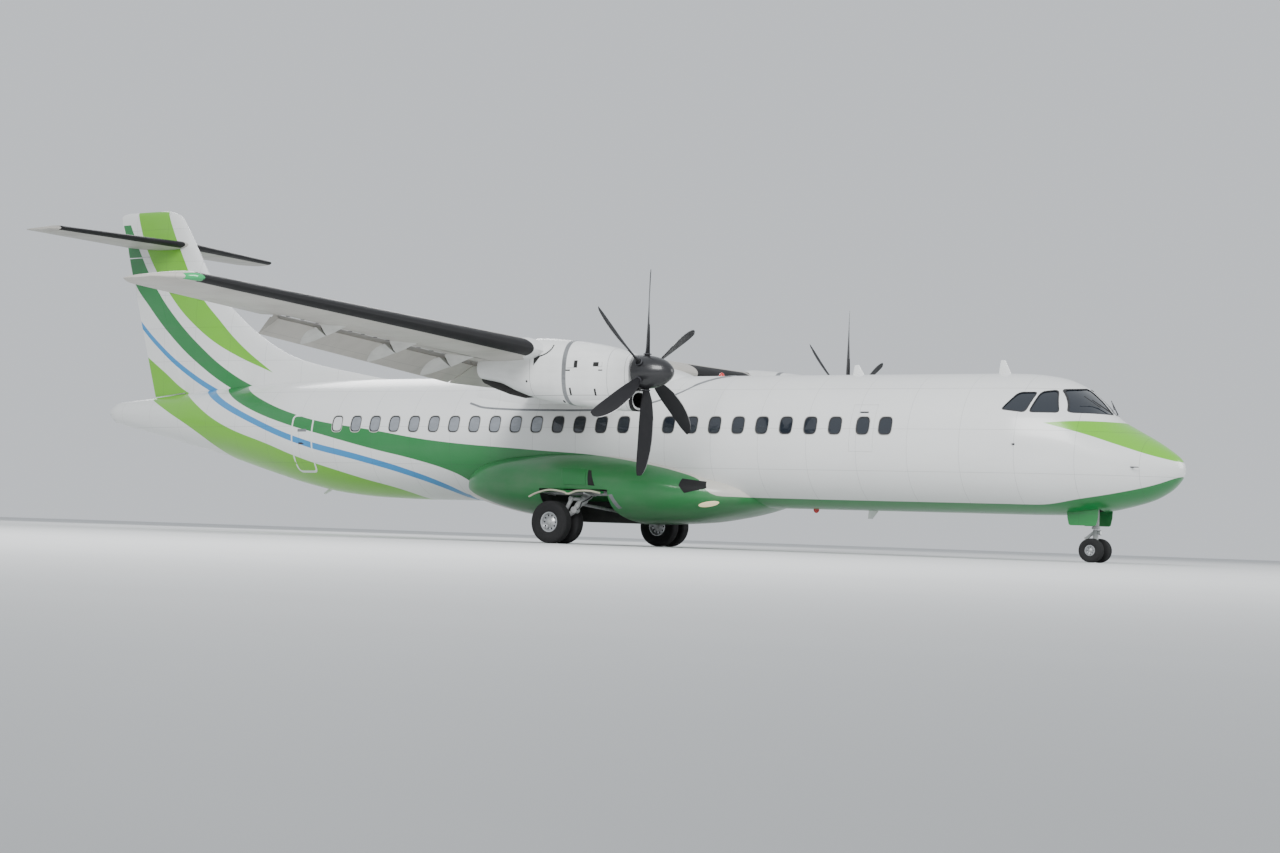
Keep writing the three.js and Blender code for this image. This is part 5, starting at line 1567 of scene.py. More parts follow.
@dataclass
class Propeller:
    """A six-bladed propeller behind a pointed spinner."""

    s: float = 9.13
    z: float = 3.308
    blades: int = 6
    hub: float = 0.15
    hub_s: tuple[float, float] = (8.96, 9.292)
    root: float = 0.061
    round_below: float = 0.4
    fatness: float = 0.86
    edge_strip: tuple[float, float] = (0.85, 1.95)
    collar: Line = ((0.335, 0.06), (0.335, 0.078), (0.35, 0.078), (0.356, 0.06), (0.335, 0.06))
    sections: Rows = (
        (0.09, 0.112, 0.112, 58, 0), (0.345, 0.116, 0.1, 56, 0), (0.42, 0.155, 0.076, 53.5, 0.005),
        (0.52, 0.205, 0.052, 50, 0.012), (0.7, 0.25, 0.042, 45, 0.017), (0.9, 0.285, 0.034, 40, 0.02),
        (1.1, 0.297, 0.029, 36.3, 0.016), (1.3, 0.3, 0.024, 33, 0.008), (1.5, 0.286, 0.02, 30.8, -0.01),
        (1.65, 0.262, 0.017, 29, -0.03), (1.78, 0.225, 0.0145, 28, -0.05), (1.88, 0.178, 0.012, 27, -0.07),
        (1.94, 0.125, 0.01, 26.4, -0.09), (1.965, 0.08, 0.008, 26, -0.105))
    spinner: Line = (
        (8.54, 0.0), (8.543, 0.028), (8.55, 0.055), (8.572, 0.093), (8.6, 0.128), (8.65, 0.172),
        (8.7, 0.208), (8.77, 0.243), (8.85, 0.272), (8.93, 0.294), (9.02, 0.31), (9.15, 0.322),
        (9.284, 0.329), (9.29, 0.324), (9.29, 0.0))

    def blade(self) -> Piece:
        """One blade pointing up from the propeller's middle, with its metal edge strip."""
        rings = []
        for r, chord, thick, angle, sweep in self.sections:
            a = radians(angle)
            lead, face = Vector((sin(a), -cos(a), 0)), Vector((cos(a), sin(a), 0))
            fat = 1.0 if r < self.round_below else self.fatness
            rings.append(turn(28, lambda t: Vector((0, 0, r)) + lead * (cos(t) * chord / 2 + sweep)
                              + face * (sin(t) * thick / 2 * (fat + (1 - fat) * cos(t)))))
        blade = painted(loft("blade", rings), BLADE_BLACK)
        blade.data.materials.append(BLADE_EDGE.material())
        start, end = self.edge_strip
        for face in blade.data.polygons:
            j = [v % 28 for v in face.vertices if face.loop_total == 4]
            if j and all(n in (0, 1, 2, 26, 27) for n in j) and start < face.center.z < end:
                face.material_index = 1
        return blade

    def build(self, y: float, word: str) -> None:
        """Builds the propeller and spinner on one side.

        Args:
            y: The axis' distance to the left.
            word: The side's name.
        """
        axis_at = Matrix.Translation(at(self.s, y, self.z))
        front, back = (self.s - s for s in self.hub_s)
        hub = painted(rod(FORWARD * front, FORWARD * back, self.hub, sides=48), BARE_METAL)
        parts, sockets = [hub], []
        for i in range(self.blades):
            turned = Matrix.Rotation(2 * pi * i / self.blades, 4, "X")
            blade = self.blade()
            blade.data.transform(turned)
            parts.append(blade)
            # The spinner's openings round the blade roots take the near-black of painted shade.
            socket = rod(UP * 0.1, UP * 0.5, self.root, sides=40)
            socket.data.transform(turned)
            sockets.append(painted(socket, PAINTED_SHADE_AND_SEAL_BLACK))
            collar = lathe(self.collar, Vector(), UP, 32)
            collar.data.transform(turned)
            parts.append(painted(collar, BARE_METAL))
        rotor = joined(f"propeller_rotor_{word}", parts)
        rotor.data.transform(axis_at)
        placed(rotor, "blade_black", f"propeller_{word}", body=f"propeller_{word}", angle=40)
        dome = lathe([(self.s - s, r) for s, r in self.spinner], Vector(), FORWARD, 72)
        painted(dome, SPINNER_BLACK)
        bore = rod(FORWARD * (front + FIT), FORWARD * (back - 0.1), self.hub + FIT, sides=48)
        cut(dome, painted(bore, BARE_METAL), *sockets)
        dome.data.transform(axis_at)
        dome.name = f"spinner_dome_{word}"
        placed(dome, "blade_black", f"spinner_{word}", body=f"propeller_{word}", angle=40)


@dataclass
class Tail:
    """The fin with its dorsal ridge, rudder, tailplane and elevators."""

    fin_z: tuple[float, float] = (3.0, 6.7)
    fin_le: tuple[float, float] = (22.18, 24.583)
    fin_chord: tuple[float, float] = (3.53, 2.3)
    fin_thick: float = 0.12
    tip: Rows = (
        (6.7005, 24.583, 26.883, 0.12), (7.04, 24.8, 27.0, 0.118), (7.37, 25.03, 27.1, 0.115),
        (7.49, 25.13, 27.125, 0.108), (7.56, 25.23, 27.135, 0.1), (7.61, 25.38, 27.08, 0.085),
        (7.64, 25.55, 26.96, 0.062), (7.65, 25.65, 26.9, 0.05))
    dorsal: tuple[Oval, ...] = ovals(
        (18.7, 3.545, 0, 0.02), (19.9, 3.74, 0, 0.045), (20.9, 3.93, 0, 0.07), (21.6, 4.14, 0, 0.095),
        (22.3, 4.48, 0, 0.12), (23.0, 4.93, 0, 0.14), (23.6, 5.41, 0, 0.15), (24.0, 5.73, 0, 0.15))
    dorsal_base: float = 3.2
    rudder_hinge: float = 0.68
    rudder_span: tuple[float, float] = (3.1, 6.56)
    rudder_gap: float = 0.025
    end_y: float = 3.655
    tip_y: float = 3.54
    z: float = 6.8
    le: float = 24.8
    chord: float = 1.98
    tip_le: float = 25.43
    tip_chord: float = 1.17
    thick: float = 0.11
    elevator_hinge: float = 0.66
    elevator_span: tuple[float, float] = (0.21, 3.42)

    def fin_at(self, z: float) -> Frame:
        """The fin's section at a height."""
        t = (z - self.fin_z[0]) / (self.fin_z[1] - self.fin_z[0])
        le, chord = (mixed(*ends, t) for ends in (self.fin_le, self.fin_chord))
        return Frame(at(le, 0, z), AFT, LEFT, chord, self.fin_thick)

    def plane_at(self, y: float) -> Frame:
        """The tailplane's section at a distance from the middle."""
        t = abs(y) / self.end_y
        beyond = max(0.0, (abs(y) - self.tip_y) / (self.end_y - self.tip_y))
        chord = mixed(self.chord, self.tip_chord, t)
        origin = at(mixed(self.le, self.tip_le, t) + beyond * 0.3 * chord, y, self.z)
        return Frame(origin, AFT, UP, chord * (1 - 0.38 * beyond), self.thick * (1 - 0.45 * beyond))

    def plane(self, grow: float = 0.0) -> Piece:
        """The whole tailplane."""
        half = [0.0, self.tip_y] + [self.tip_y + (self.end_y - self.tip_y) * i / 5 for i in range(1, 6)]
        spans = [-y for y in reversed(half[1:])] + half
        return painted(loft("plane", [self.plane_at(y).outline(grow) for y in spans]), WING_PAINT_AND_PAINTED_SHADE)

    def build(self, hull: Fuselage) -> None:
        """Builds the tail's pieces."""
        self.build_plane()
        self.build_fin(hull)
        caps = [Frame(at(le, 0, z), AFT, LEFT, te - le, thick).outline() for z, le, te, thick in self.tip]
        tip = painted(loft("fin_cap", caps), HULL)
        cut(tip, self.plane(0.001))
        placed(keep_largest(tip), "paint_white", "fin_tip")

    def build_plane(self) -> None:
        """Builds the tailplane, the elevators and the boots."""
        start, end = self.elevator_span
        body, left = hinged(self.plane(), WING_PAINT_AND_PAINTED_SHADE, self.plane_at, self.elevator_hinge, start, end)
        body, right = hinged(body, WING_PAINT_AND_PAINTED_SHADE, self.plane_at, self.elevator_hinge, -end, -start)
        body.name = "tailplane_skin"
        placed(body, "paint_wing", "tailplane", angle=28)
        for word, piece in (("left", left), ("right", right)):
            piece.name = f"elevator_skin_{word}"
            placed(piece, "paint_wing", f"elevator_{word}", body=f"elevator_{word}", angle=28)
        for word, side in SIDES:
            frames = [self.plane_at(y * side) for y in (0.19, 1.5, self.tip_y, 3.56)]
            boot = loft(f"tailplane_boot_{word}", [f.boot(0.09, 0.08, 0.0025) for f in frames])
            placed(painted(boot, BOOT), "tyre")

    def build_fin(self, hull: Fuselage) -> None:
        """Builds the rudder and the fin with its dorsal ridge."""
        fin = painted(loft("fin_skin", [self.fin_at(z).outline() for z in self.fin_z]), HULL)
        fin, rudder = hinged(fin, HULL, self.fin_at, self.rudder_hinge, *self.rudder_span, self.rudder_gap)
        cut(rudder, painted(hull.shell(20.0, LENGTH - 0.001, 0.03), HULL))
        rudder.name = "rudder_skin"
        placed(keep_largest(rudder), "paint_white", "rudder", body="rudder")
        merge(fin, self.ridge())
        under = painted(hull.shell(16.5, LENGTH - 0.001, FIT), HULL)
        cut(fin, under, self.plane(0.001))
        placed(keep_largest(fin), "paint_white", "fin")

    def ridge(self) -> Piece:
        """The dorsal ridge in front of the fin."""
        rings = []
        for s in steps(self.dorsal[0].s, self.dorsal[-1].s, 0.15):
            row = oval_at(self.dorsal, s)
            base, half, top = self.dorsal_base, row.half, row.top
            shoulder = (base + 2 * top) / 3
            arch = [(mixed(half * 0.9, 0.008, 1 - cos(t)), mixed(shoulder, top, sin(t)))
                    for t in (pi / 2 * i / 8 for i in range(9))]
            rings.append([at(s, y, z) for y, z in [(-half, base), (half, base)] + arch
                          + [(-y, z) for y, z in reversed(arch)]])
        return painted(loft("dorsal", rings), HULL)


@dataclass
class Wheel:
    """A pair of wheels on one axle: how far apart, and the tyre's and rim's sizes."""

    s: float
    spacing: float
    radius: float
    width: float
    rim: float
    axle: float
    holes: int

    def tyre(self, y: float) -> Piece:
        """One tyre with grooves round its tread.

        Args:
            y: Its middle's distance to the left.

        Returns:
            The tyre.
        """
        w, r, rim = self.width / 2, self.radius, self.rim
        shoulder = (rim + r) / 2 + self.width * 0.1
        side = [(w * 0.72, rim), (w * 0.8, rim + 0.012), (w * 0.97, (rim + shoulder) / 2), (w, shoulder),
                (w * 0.93, shoulder + (r - shoulder) * 0.55), (w * 0.8, r - (r - shoulder) * 0.12),
                (w * 0.62, r - 0.002)]
        tread = [(w * (groove + across), r - depth) for groove in (0.42, 0.14, -0.14, -0.42)
                 for across, depth in ((0.035, 0.0), (0.03, 0.009), (-0.03, 0.009), (-0.035, 0.0))]
        profile = side + tread + [(-d, q) for d, q in reversed(side)]
        return lathe(profile + [profile[0]], at(self.s, y, self.radius), LEFT, WHEEL_SIDES)

    def drum(self, side: int, middle: float) -> list[Piece]:
        """One wheel's disc, dished outside, with holes, bolts and a hub cap."""
        w, rim = self.width * 0.36, self.rim - 0.0005
        centre = at(self.s, middle + side * self.spacing / 2, self.radius)
        axis = LEFT * side
        profile = ((-w * 0.5, 0.0), (-w * 0.55, rim * 0.3), (-w * 0.9, rim * 0.78), (-w, rim - 0.006),
                   (-w, rim), (w, rim), (w, rim - 0.01), (w * 0.93, rim * 0.86), (w * 0.5, rim * 0.75),
                   (w * 0.47, rim * 0.6), (w * 0.8, rim * 0.36), (w * 0.85, rim * 0.3), (w * 0.85, 0.0))
        disc = painted(lathe(profile, centre, axis, WHEEL_SIDES), ALLOY)
        cuts, extras = [], []
        for i in range(self.holes):
            t = 2 * pi * i / self.holes
            out = Vector((cos(t), 0, sin(t)))
            spot = centre + out * rim * 0.66
            cuts.append(rod(spot - axis * w * 1.2, spot + axis * w * 1.2, rim * 0.085, sides=20))
            bolt = centre + out * rim * 0.44 + axis * w * 0.66
            extras.append(rod(bolt, bolt + axis * 0.014, rim * 0.035, sides=6))
        # The holes' walls take the near-black of painted shade.
        cut(disc, painted(joined("holes", cuts), PAINTED_SHADE_AND_SEAL_BLACK))
        cap = lathe(((w * 0.8, 0.0), (w * 0.8, rim * 0.27), (w * 0.95, rim * 0.25), (w * 1.02, rim * 0.16),
                     (w * 1.04, 0.0)), centre, axis, 40)
        return [disc, painted(joined("bolts", extras), GEAR_ENAMEL_AND_PAINTED_SHADE), painted(cap, GEAR_ENAMEL_AND_PAINTED_SHADE)]

    def bored(self, piece: Piece, middle: Vector) -> Piece:
        """A piece with room for the axle cut through it."""
        return cut(piece, crossbar(middle, 0.09, self.axle + 0.006, 32))

    def build(self, name: str, middle: float, body: str, tyres: tuple[str, str]) -> None:
        """Builds the pair.

        Args:
            name: The pair's name in the frame.
            middle: The axle middle's distance to the left.
            body: The turning body.
            tyres: The names of its right and left tyre.
        """
        bar = painted(crossbar(at(self.s, middle, self.radius), self.spacing / 2, self.axle), CHROME)
        parts = [bar] + self.drum(1, middle) + self.drum(-1, middle)
        pair = joined(f"{name}_wheel_pair", parts)
        placed(pair, "wheel_alloy", f"{name}_wheels", body=body, angle=30)
        for side, word in zip((-1, 1), tyres):
            rubber = painted(self.tyre(middle + side * self.spacing / 2), RUBBER)
            rubber.name = f"{name}_rubber_{word}"
            placed(rubber, "tyre", f"{name}_tyre_{word}", body=body, angle=50)


@dataclass
class MainGear:
    """The main landing gear with its belly fairing, wheel bays, open doors, legs and wheels."""

    table: tuple[Oval, ...] = ovals(
        (8.42, 1.12, 0.9, 0.42), (8.8, 1.34, 0.8, 1.15), (9.5, 1.54, 0.64, 1.56), (10.4, 1.79, 0.51, 1.85),
        (11.5, 1.96, 0.46, 1.95), (12.9, 2.01, 0.46, 1.95), (14.0, 1.95, 0.56, 1.82),
        (14.8, 1.8, 0.7, 1.62), (15.3, 1.56, 0.82, 1.3), (15.6, 1.25, 0.89, 0.6))
    bay: tuple[float, float, float, float] = (11.34, 13.01, 0.43, 1.12)
    door: Rows = (
        (11.42, 2.06, 1.06, 0.012), (11.65, 2.13, 1.1, 0.02), (11.9, 2.2, 1.09, 0.025),
        (12.08, 2.24, 1.03, 0.02), (12.2, 2.27, 1.07, 0.022), (12.5, 2.31, 1.1, 0.025),
        (12.8, 2.33, 1.03, 0.02), (12.98, 2.33, 0.95, 0.012))
    door_root: tuple[float, float, float] = (1.7, 1.085, 0.035)
    flat: tuple[tuple[str, Line, float, Finish, str], ...] = (
        ("fairing_plate", ((11.86, 1.2), (12.4, 1.2), (12.5, 1.55), (11.9, 1.53)), 0.012, GREEN_PAINT,
         "paint_green"),
        # The near-black slot plate is painted shade of an opening.
        ("fairing_slot", ((11.64, 1.19), (11.8, 1.2), (11.85, 1.51), (11.77, 1.5)), 0.003, PAINTED_SHADE_AND_SEAL_BLACK,
         "blade_black"),
        ("fairing_patch", ((11.12, 0.76), (11.22, 0.74), (11.32, 1.02), (11.23, 1.03)), 0.004, SEAM_GREY,
         "paint_green"),
        ("air_scoop", ((9.3, 1.2), (9.7, 1.09), (9.82, 1.24), (9.81, 1.38), (9.37, 1.33)), 0.008, BOOT,
         "blade_black"))
    lamp: tuple[float, ...] = (9.29, 0.89, 0.2, 0.045, -0.2)
    leg: tuple[tuple[str, float, float, float], ...] = (
        ("pintle", 11.95, 1.6, 1.05), ("knee", 12.01, 1.95, 0.8), ("pivot", 12.02, 2.05, 0.69),
        ("arm_top", 11.98, 1.8, 0.915), ("shock_top", 12.12, 2.045, 0.92), ("foot", 12.33, 2.05, 0.522),
        ("brace", 12.01, 1.92, 0.82), ("brace_foot", 12.01, 0.434, 0.7))
    wheel: Wheel = field(default_factory=lambda: Wheel(12.45, 0.43, 0.432, 0.254, 0.205, 0.045, 10))
    wheel_y: float = 2.05
    bearing: float = 0.092
    power: float = 2.5

    def fairing(self, grow: float = 0.0) -> Piece:
        """The belly fairing's whole form."""
        return loft("fairing", [oval_ring(s, oval_at(self.table, s), self.power, 0, 96, grow)
                                for s in steps(self.table[0].s, self.table[-1].s, 0.12)])

    def plates(self, side: int) -> list[tuple[str, Piece, Finish, str]]:
        """The plates, slots, scoop and lamp on one side of the fairing."""
        def place(s: float, z: float, lift: float) -> Vector:
            """A point lifted off this side."""
            return lifted(oval_at(self.table, s), self.power, 0.0, side, z, lift)

        flat = [(name, plate(name, outline, place, proud), finish, slot)
                for name, outline, proud, finish, slot in self.flat]
        lamp = plate("lamp", round_outline(*self.lamp), place, 0.006, 1)
        return flat + [("landing_lamp", lamp, WARM_LENS, "cockpit_glass")]

    def build(self, hull: Fuselage) -> None:
        """Builds the fairing with its bays, panels and lamps, then doors, legs and wheels."""
        s0, s1, y0, top = self.bay
        body = painted(self.fairing(), BELLY)
        bays = joined("bays", [block(s0, s1, y0 * side, 2.3 * side, 0.2, top) for _, side in SIDES])
        # The bays' walls take the near-black primer, painted shade inside the bays.
        cut(body, painted(bays, BAY_PRIMER_AND_PAINTED_SHADE))
        cut(body, painted(hull.shell(7.0, 17.0, 0.0005), BELLY))
        body.name = "belly_fairing_skin"
        placed(keep_largest(body), "paint_green", "belly_fairing")
        for word, side in SIDES:
            self.build_door(word, side)
            self.build_leg(word, side)
            tyres = ("inner", "outer") if side > 0 else ("outer", "inner")
            self.wheel.build(f"main_{word}", self.wheel_y * side, f"main_wheels_{word}", tyres)
            for name, piece, finish, slot in self.plates(side):
                piece.name = f"{name}_{word}"
                placed(painted(piece, finish), slot)

    def build_door(self, word: str, side: int) -> None:
        """Builds an open wheel bay door with a rim along its edge and two struts."""
        root_y, root_z, thick = self.door_root
        rings, table = [], [dict(zip("syza", row)) for row in self.door]
        for i in range(43):
            t = i / 42 * (len(table) - 1)
            n = min(int(t), len(table) - 2)
            row = {k: table[n][k] + (table[n + 1][k] - table[n][k]) * (t - n) for k in "syza"}
            upper = []
            for j in range(9):
                u = j / 8
                middle_y, middle_z = (1.95 + row["y"]) / 2, (root_z + row["z"]) / 2 + row["a"]
                y = (1 - u) ** 2 * root_y + 2 * u * (1 - u) * middle_y + u * u * row["y"]
                z = (1 - u) ** 2 * root_z + 2 * u * (1 - u) * middle_z + u * u * row["z"]
                upper.append((y, z))
            under = [(y, z - thick) for y, z in reversed(upper)]
            rings.append([at(row["s"], y * side, z) for y, z in upper + under])
        door = painted(loft(f"gear_door_{word}", rings), GREEN_PAINT)
        cut(door, painted(self.fairing(0.003), GREEN_PAINT))
        placed(keep_largest(door), "paint_green", f"main_gear_door_{word}")
        tips = [at(row["s"], (row["y"] + 0.004) * side, row["z"] - thick / 2) for row in table]
        rim = painted(hose(tips, 0.02), EDGE_BEIGE)
        rim.name = f"gear_door_rim_{word}"
        placed(rim, "paint_green")
        arms = [rod(at(s, 1.72 * side, 0.99), at(s, 2.16 * side, 1.035), 0.016) for s in (11.75, 12.75)]
        strut = painted(joined(f"gear_door_struts_{word}", arms), GEAR_ENAMEL_AND_PAINTED_SHADE)
        placed(strut, "gear_steel")

    def build_leg(self, word: str, side: int) -> None:
        """Builds a leg: trunnion, swinging arm, shock absorber, side brace and brake hoses."""
        s0, s1, _, _ = self.bay
        pintle, knee, pivot, arm_top, shock_top, foot, brace, brace_foot = (
            at(s, y * side, z) for _, s, y, z in self.leg)
        axle = at(self.wheel.s, self.wheel_y * side, self.wheel.radius)
        shock_middle = shock_top.lerp(foot, 0.55)
        shaft = [at(s, pintle.y, pintle.z) for s in (s0 + 0.001, s1 - 0.001)]
        steel = [rod(*shaft, 0.055, sides=32),
                 rod(pintle, knee, 0.085, 0.07, 32), rod(knee, pivot, 0.07, 0.062, 32),
                 rod(arm_top, shock_top, 0.042), rod(shock_top, shock_middle, 0.044, 0.042),
                 rod(brace, brace_foot, 0.03, 0.034),
                 crossbar(pivot, 0.075, 0.07, 32), crossbar(foot, 0.05, 0.045),
                 crossbar(shock_top, 0.055, 0.05)]
        for t in (0.25, 0.6):
            ring = pintle.lerp(knee, t)
            way = (knee - pintle).normalized() * 0.02
            steel.append(rod(ring - way, ring + way, 0.093, 0.088, 32))
        for solid in (crossbar(axle, 0.03, self.bearing, 40), rod(pivot, axle, 0.06, 0.052, 32)):
            steel.append(self.wheel.bored(solid, axle))
        leg = painted(joined(f"main_leg_{word}_struts", steel), GEAR_ENAMEL_AND_PAINTED_SHADE)
        placed(leg, "gear_steel", f"main_leg_{word}")
        shine = painted(rod(shock_middle, foot, 0.03), CHROME)
        shine.name = f"main_shock_{word}"
        placed(shine, "gear_steel")
        bend_at = knee + Vector((0.07, 0, 0.05))
        lower = [bend_at, pivot + Vector((0.09, 0.03 * side, 0.02)),
                 pivot.lerp(axle, 0.5) + Vector((0.02, 0.05 * side, 0.09)),
                 axle + Vector((0.03, 0.05 * side, 0.1))]
        upper = [pintle + Vector((0.08, 0, 0)), pintle.lerp(knee, 0.5) + Vector((0.11, 0, 0.01)), bend_at]
        pipes = [hose(path, 0.011) for path in (lower, upper)]
        placed(painted(joined(f"brake_hose_{word}", pipes), SEAL), "gear_steel")


def hose(points: list[Vector], radius: float) -> Piece:
    """A smooth pipe through a few points."""
    ends = [points[0] * 2 - points[1], *points, points[-1] * 2 - points[-2]]
    path = [curved(*four, i / 6) for four in zip(ends, ends[1:], ends[2:], ends[3:]) for i in range(6)]
    path.append(points[-1])
    rings = []
    for n, p in enumerate(path):
        way = (path[min(n + 1, len(path) - 1)] - path[max(n - 1, 0)]).normalized()
        u = way.cross(Vector((0.3, 1, 0.2))).normalized()
        v = way.cross(u)
        rings.append(turn(12, lambda a, p=p, u=u, v=v: p + (u * cos(a) + v * sin(a)) * radius))
    return loft("hose", rings)


@dataclass
class NoseGear:
    """The steerable nose gear with its bay doors, taxi lamp and wheels."""

    wheel: Wheel = field(default_factory=lambda: Wheel(1.69, 0.4, 0.225, 0.19, 0.1, 0.032, 8))
    radius: float = 0.062
    bottom: float = 0.62
    bay_top: float = 1.35
    bay_half: float = 0.33
    bay: tuple[float, float] = (1.48, 2.14)
    rod_radius: float = 0.034
    bore: float = 0.04
    bore_top: float = 1.11
    collar: float = 0.052
    lamp_shell: Line = ((-0.05, 0.0), (-0.045, 0.03), (0.0, 0.05), (0.02, 0.052), (0.02, 0.044), (0.012, 0.0))
    lamp_lens: Line = ((0.012, 0.0), (0.012, 0.043), (0.02, 0.04), (0.026, 0.02), (0.028, 0.0))

    def build(self, hull: Fuselage) -> None:
        """Builds the leg, the steered part, the lamp, the doors and the wheels."""
        self.build_leg()
        self.build_steering()
        self.build_lamp()
        self.build_doors(hull)
        self.wheel.build("nose", 0.0, "nose_wheels", ("right", "left"))

    def upright(self, z0: float, z1: float, radius: float) -> Piece:
        """A round bar on the leg's axis."""
        return rod(at(self.wheel.s, 0, z0), at(self.wheel.s, 0, z1), radius, sides=40)

    def build_leg(self) -> None:
        """Builds the fixed leg with the bore that the steered part turns in."""
        s, low, half = self.wheel.s, self.bottom, self.bay_half - 0.001
        leg = cut(self.upright(low, self.bay_top - FIT, self.radius),
                  self.upright(low - 0.02, self.bore_top, self.bore))
        ring = cut(self.upright(low, low + 0.05, self.radius + 0.014),
                   self.upright(low - 0.02, low + 0.1, self.bore))
        parts = [leg, ring, crossbar(at(s, 0, 1.18), half, 0.04),
                 rod(at(s, 0, 0.9), at(self.bay[1] - 0.025, 0, 1.245), 0.028)]
        parts += [crossbar(at(s + 0.02, y, 0.86), 0.022, 0.03) for y in (-0.075, 0.075)]
        placed(painted(joined("nose_leg_housing", parts), GEAR_ENAMEL_AND_PAINTED_SHADE), "gear_steel", "nose_leg")

    def build_steering(self) -> None:
        """Builds the sliding rod, its collar and link and the bearing of the wheels."""
        s, top = self.wheel.s, self.bottom - SEAM
        axle = at(s, 0, self.wheel.radius)
        slider = painted(self.upright(self.wheel.radius, self.bore_top - 0.02, self.rod_radius), CHROME)
        link = prism("link", [(s + aft, z) for aft, z in (
            (0.02, top - 0.01), (0.19, 0.47), (0.19, 0.43), (0.02, 0.28), (0.02, 0.33), (0.14, 0.45),
            (0.02, top - 0.06))], -0.03, 0.03)
        bearing = self.wheel.bored(crossbar(axle, 0.055, 0.055, 40), axle)
        self.wheel.bored(slider, axle)
        knuckle = crossbar(at(s + 0.185, 0, 0.45), 0.04, 0.024)
        collar = self.upright(0.3, top, self.collar)
        steel = painted(joined("fork", [collar, link, bearing, knuckle]), GEAR_ENAMEL_AND_PAINTED_SHADE)
        fork = joined("nose_steering_fork", [steel, slider])
        placed(fork, "gear_steel", "nose_steering", body="nose_steering")

    def build_lamp(self) -> None:
        """Builds the taxi lamp, which turns with the steered part."""
        s = self.wheel.s
        shell, lens = (painted(lathe(rows, at(s - 0.085, 0, 0.56), FORWARD, 36), finish)
                       for rows, finish in ((self.lamp_shell, GEAR_ENAMEL_AND_PAINTED_SHADE), (self.lamp_lens, LENS)))
        stay = painted(rod(at(s - 0.045, 0, 0.56), at(s - 0.06, 0, 0.56), 0.018), GEAR_ENAMEL_AND_PAINTED_SHADE)
        placed(joined("taxi_lamp", [shell, lens, stay]), "gear_steel", body="nose_steering")

    def build_doors(self, hull: Fuselage) -> None:
        """Builds the two open doors of the nose bay."""
        a, b = self.bay
        half = self.bay_half - 0.001
        for word, side in SIDES:
            outline = ((a + 0.02, 1.01), (b - 0.02, 0.96), (b - 0.03, 0.82), (b - 0.06, 0.7),
                       (b - 0.09, 0.68), (a + 0.09, 0.68), (a + 0.06, 0.7), (a + 0.03, 0.84))
            door = painted(prism(f"nose_door_{word}", outline, (half + 0.015) * side, (half + 0.035) * side),
                           GREEN_PAINT)
            cut(door, painted(hull.shell(0.95, 3.19, 0.0005), GREEN_PAINT))
            placed(keep_largest(door), "paint_green", f"nose_gear_door_{word}")


@dataclass
class Fittings:
    """The aerials, probes, drain mast and beacons."""

    aerials: tuple[tuple[str, float, float, float, float], ...] = (
        ("front_aerial", 3.46, 3.545, 3.6, 3.8), ("rear_aerial", 16.16, 3.545, 16.38, 3.81),
        ("middle_aerial", 6.6, 3.545, 6.74, 3.74))
    aerial_chords: Line = ((0.0, 0.28), (0.25, 0.23), (0.5, 0.185), (0.75, 0.14), (0.94, 0.105), (1.0, 0.07))
    pitot: tuple[float, float] = (0.72, 1.76)
    vane: tuple[float, float] = (2.78, 2.13)
    beacon: Line = ((0.0, 0.0), (0.0, 0.06), (0.03, 0.058), (0.06, 0.042), (0.078, 0.018), (0.08, 0.0))
    fins: tuple[tuple[str, Line, float], ...] = (
        ("drain_mast", ((19.93, 1.12), (20.08, 1.14), (20.38, 0.94), (20.33, 0.92)), 0.012),
        ("belly_aerial", ((6.2, 0.88), (6.42, 0.88), (6.44, 0.7), (6.34, 0.7)), 0.01))

    def blade_aerial(self, name: str, s: float, z: float, tip_s: float, tip_z: float) -> None:
        """A thin swept aerial on the middle line."""
        rings = []
        for share, chord in self.aerial_chords:
            a = mixed(s, tip_s, share) + (0.015 if share == 1 else 0)
            b, half = mixed(z - 0.03, tip_z, share), 0.014 * (1 - 0.5 * share)
            rings.append(turn(24, lambda t, a=a, b=b, c=chord / 2, h=half:
                              at(a + c - cos(t) * c, sin(t) * h, b)))
        placed(painted(loft(name, rings), PLAIN_WHITE), "paint_white")

    def build(self) -> None:
        """Builds all of them."""
        for row in self.aerials:
            self.blade_aerial(*row)
        for name, outline, half in self.fins:
            placed(painted(prism(name, outline, -half, half), PLAIN_WHITE), "paint_white")
        for word, side in SIDES:
            foot, vane_foot = (at(s, (skin_y(s, z) - 0.01) * side, z) for s, z in (self.pitot, self.vane))
            out = foot + LEFT * (0.07 * side)
            tube = rod(out + AFT * 0.03, out + FORWARD * 0.13, 0.011, 0.007)
            probe = painted(joined(f"pitot_{word}", [rod(foot, out, 0.012), tube]), BARE_METAL)
            placed(probe, "engine_metal")
            vane = rod(vane_foot, vane_foot + Vector((-0.02, 0.06 * side, 0)), 0.02, 0.008)
            painted(vane, BARE_METAL).name = f"vane_{word}"
            placed(vane, "engine_metal")
        for name, s, z, way in (("top_beacon", 9.9, 3.535, 1), ("belly_beacon", 7.6, 0.865, -1)):
            dome = lathe(self.beacon, at(s, 0, z), UP * way, 36)
            dome.name = name
            placed(painted(dome, RED_LENS), "cockpit_glass")


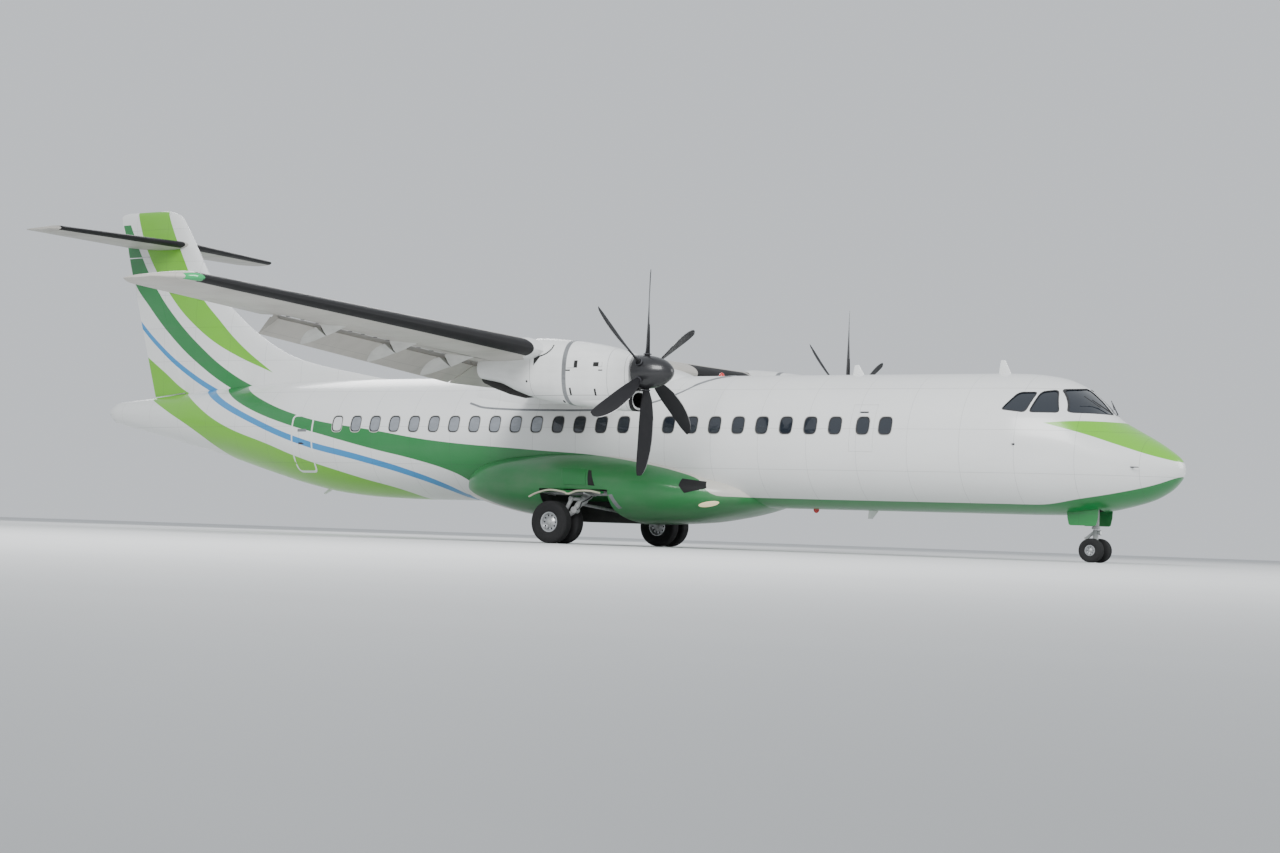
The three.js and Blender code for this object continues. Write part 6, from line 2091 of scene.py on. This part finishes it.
@dataclass
class Studio:
    """The pale floor, the soft lights and the camera at the photograph's viewing angle."""

    floor_half: float = 140.0
    lamps: tuple[tuple[str, tuple[float, float, float], float, float], ...] = (
        ("key", (14, -32, 24), 18, 15000), ("fill", (34, 14, 14), 16, 4500), ("rim", (-26, 20, 20), 16, 5000))
    azimuth: float = radians(32.8)
    distance: float = 50.0
    height: float = 0.2
    aim: tuple[float, float, float] = (1.73, 0.0, 2.5)
    lens: float = 67.2
    roll: float = radians(1.95)

    def build(self) -> None:
        """Builds the floor, the world's light, the lamps and the camera."""
        half = self.floor_half
        corners = ((-half, -half), (half, -half), (half, half), (-half, half))
        floor = loft("floor", [[Vector((x, y, z)) for x, y in corners] for z in (-0.05, 0.0)])
        painted(floor, FLOOR_PAINT)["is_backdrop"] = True
        world = bpy.data.worlds.new("studio")
        world.use_nodes = True
        backdrop = world.node_tree.nodes["Background"].inputs
        backdrop["Color"].default_value = (0.86, 0.9, 0.95, 1)
        backdrop["Strength"].default_value = 0.85
        bpy.context.scene.world = world
        for name, place, size, power in self.lamps:
            data = bpy.data.lights.new(name, "AREA")
            data.energy, data.size = power, size
            lamp = bpy.data.objects.new(name, data)
            lamp.location = place
            lamp.rotation_euler = (Vector((0, 0, 2)) - Vector(place)).to_track_quat("-Z", "Y").to_euler()
            bpy.context.scene.collection.objects.link(lamp)
        data = bpy.data.cameras.new("camera")
        data.lens, data.clip_end = self.lens, 400
        camera = bpy.data.objects.new("camera", data)
        aim = Vector(self.aim)
        place = aim + Vector((sin(self.azimuth), -cos(self.azimuth), 0)) * self.distance
        place.z = self.height
        camera.location = place
        look = (aim - place).to_track_quat("-Z", "Y").to_matrix() @ Matrix.Rotation(self.roll, 3, "Z")
        camera.rotation_euler = look.to_euler()
        bpy.context.scene.collection.objects.link(camera)
        bpy.context.scene.camera = camera


def main() -> None:
    """Builds the airliner and the studio round it."""
    logging.basicConfig(level=logging.INFO, format="%(message)s")
    hull, wing = Fuselage(), Wing()
    hull.build_sections(wing.envelope())
    hull.build_doors()
    hull.build_windows()
    hull.build_trim()
    Cockpit().build(hull)
    wing.build()
    wing.build_roof(hull)
    Nacelle().build(wing)
    for word, side in SIDES:
        Propeller().build(4.05 * side, word)
    Tail().build(hull)
    MainGear().build(hull)
    NoseGear().build(hull)
    Fittings().build()
    Studio().build()
    [[list(v) for v in box] for box in (CAD_BOX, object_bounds())]


if __name__ == "__main__":
    main()
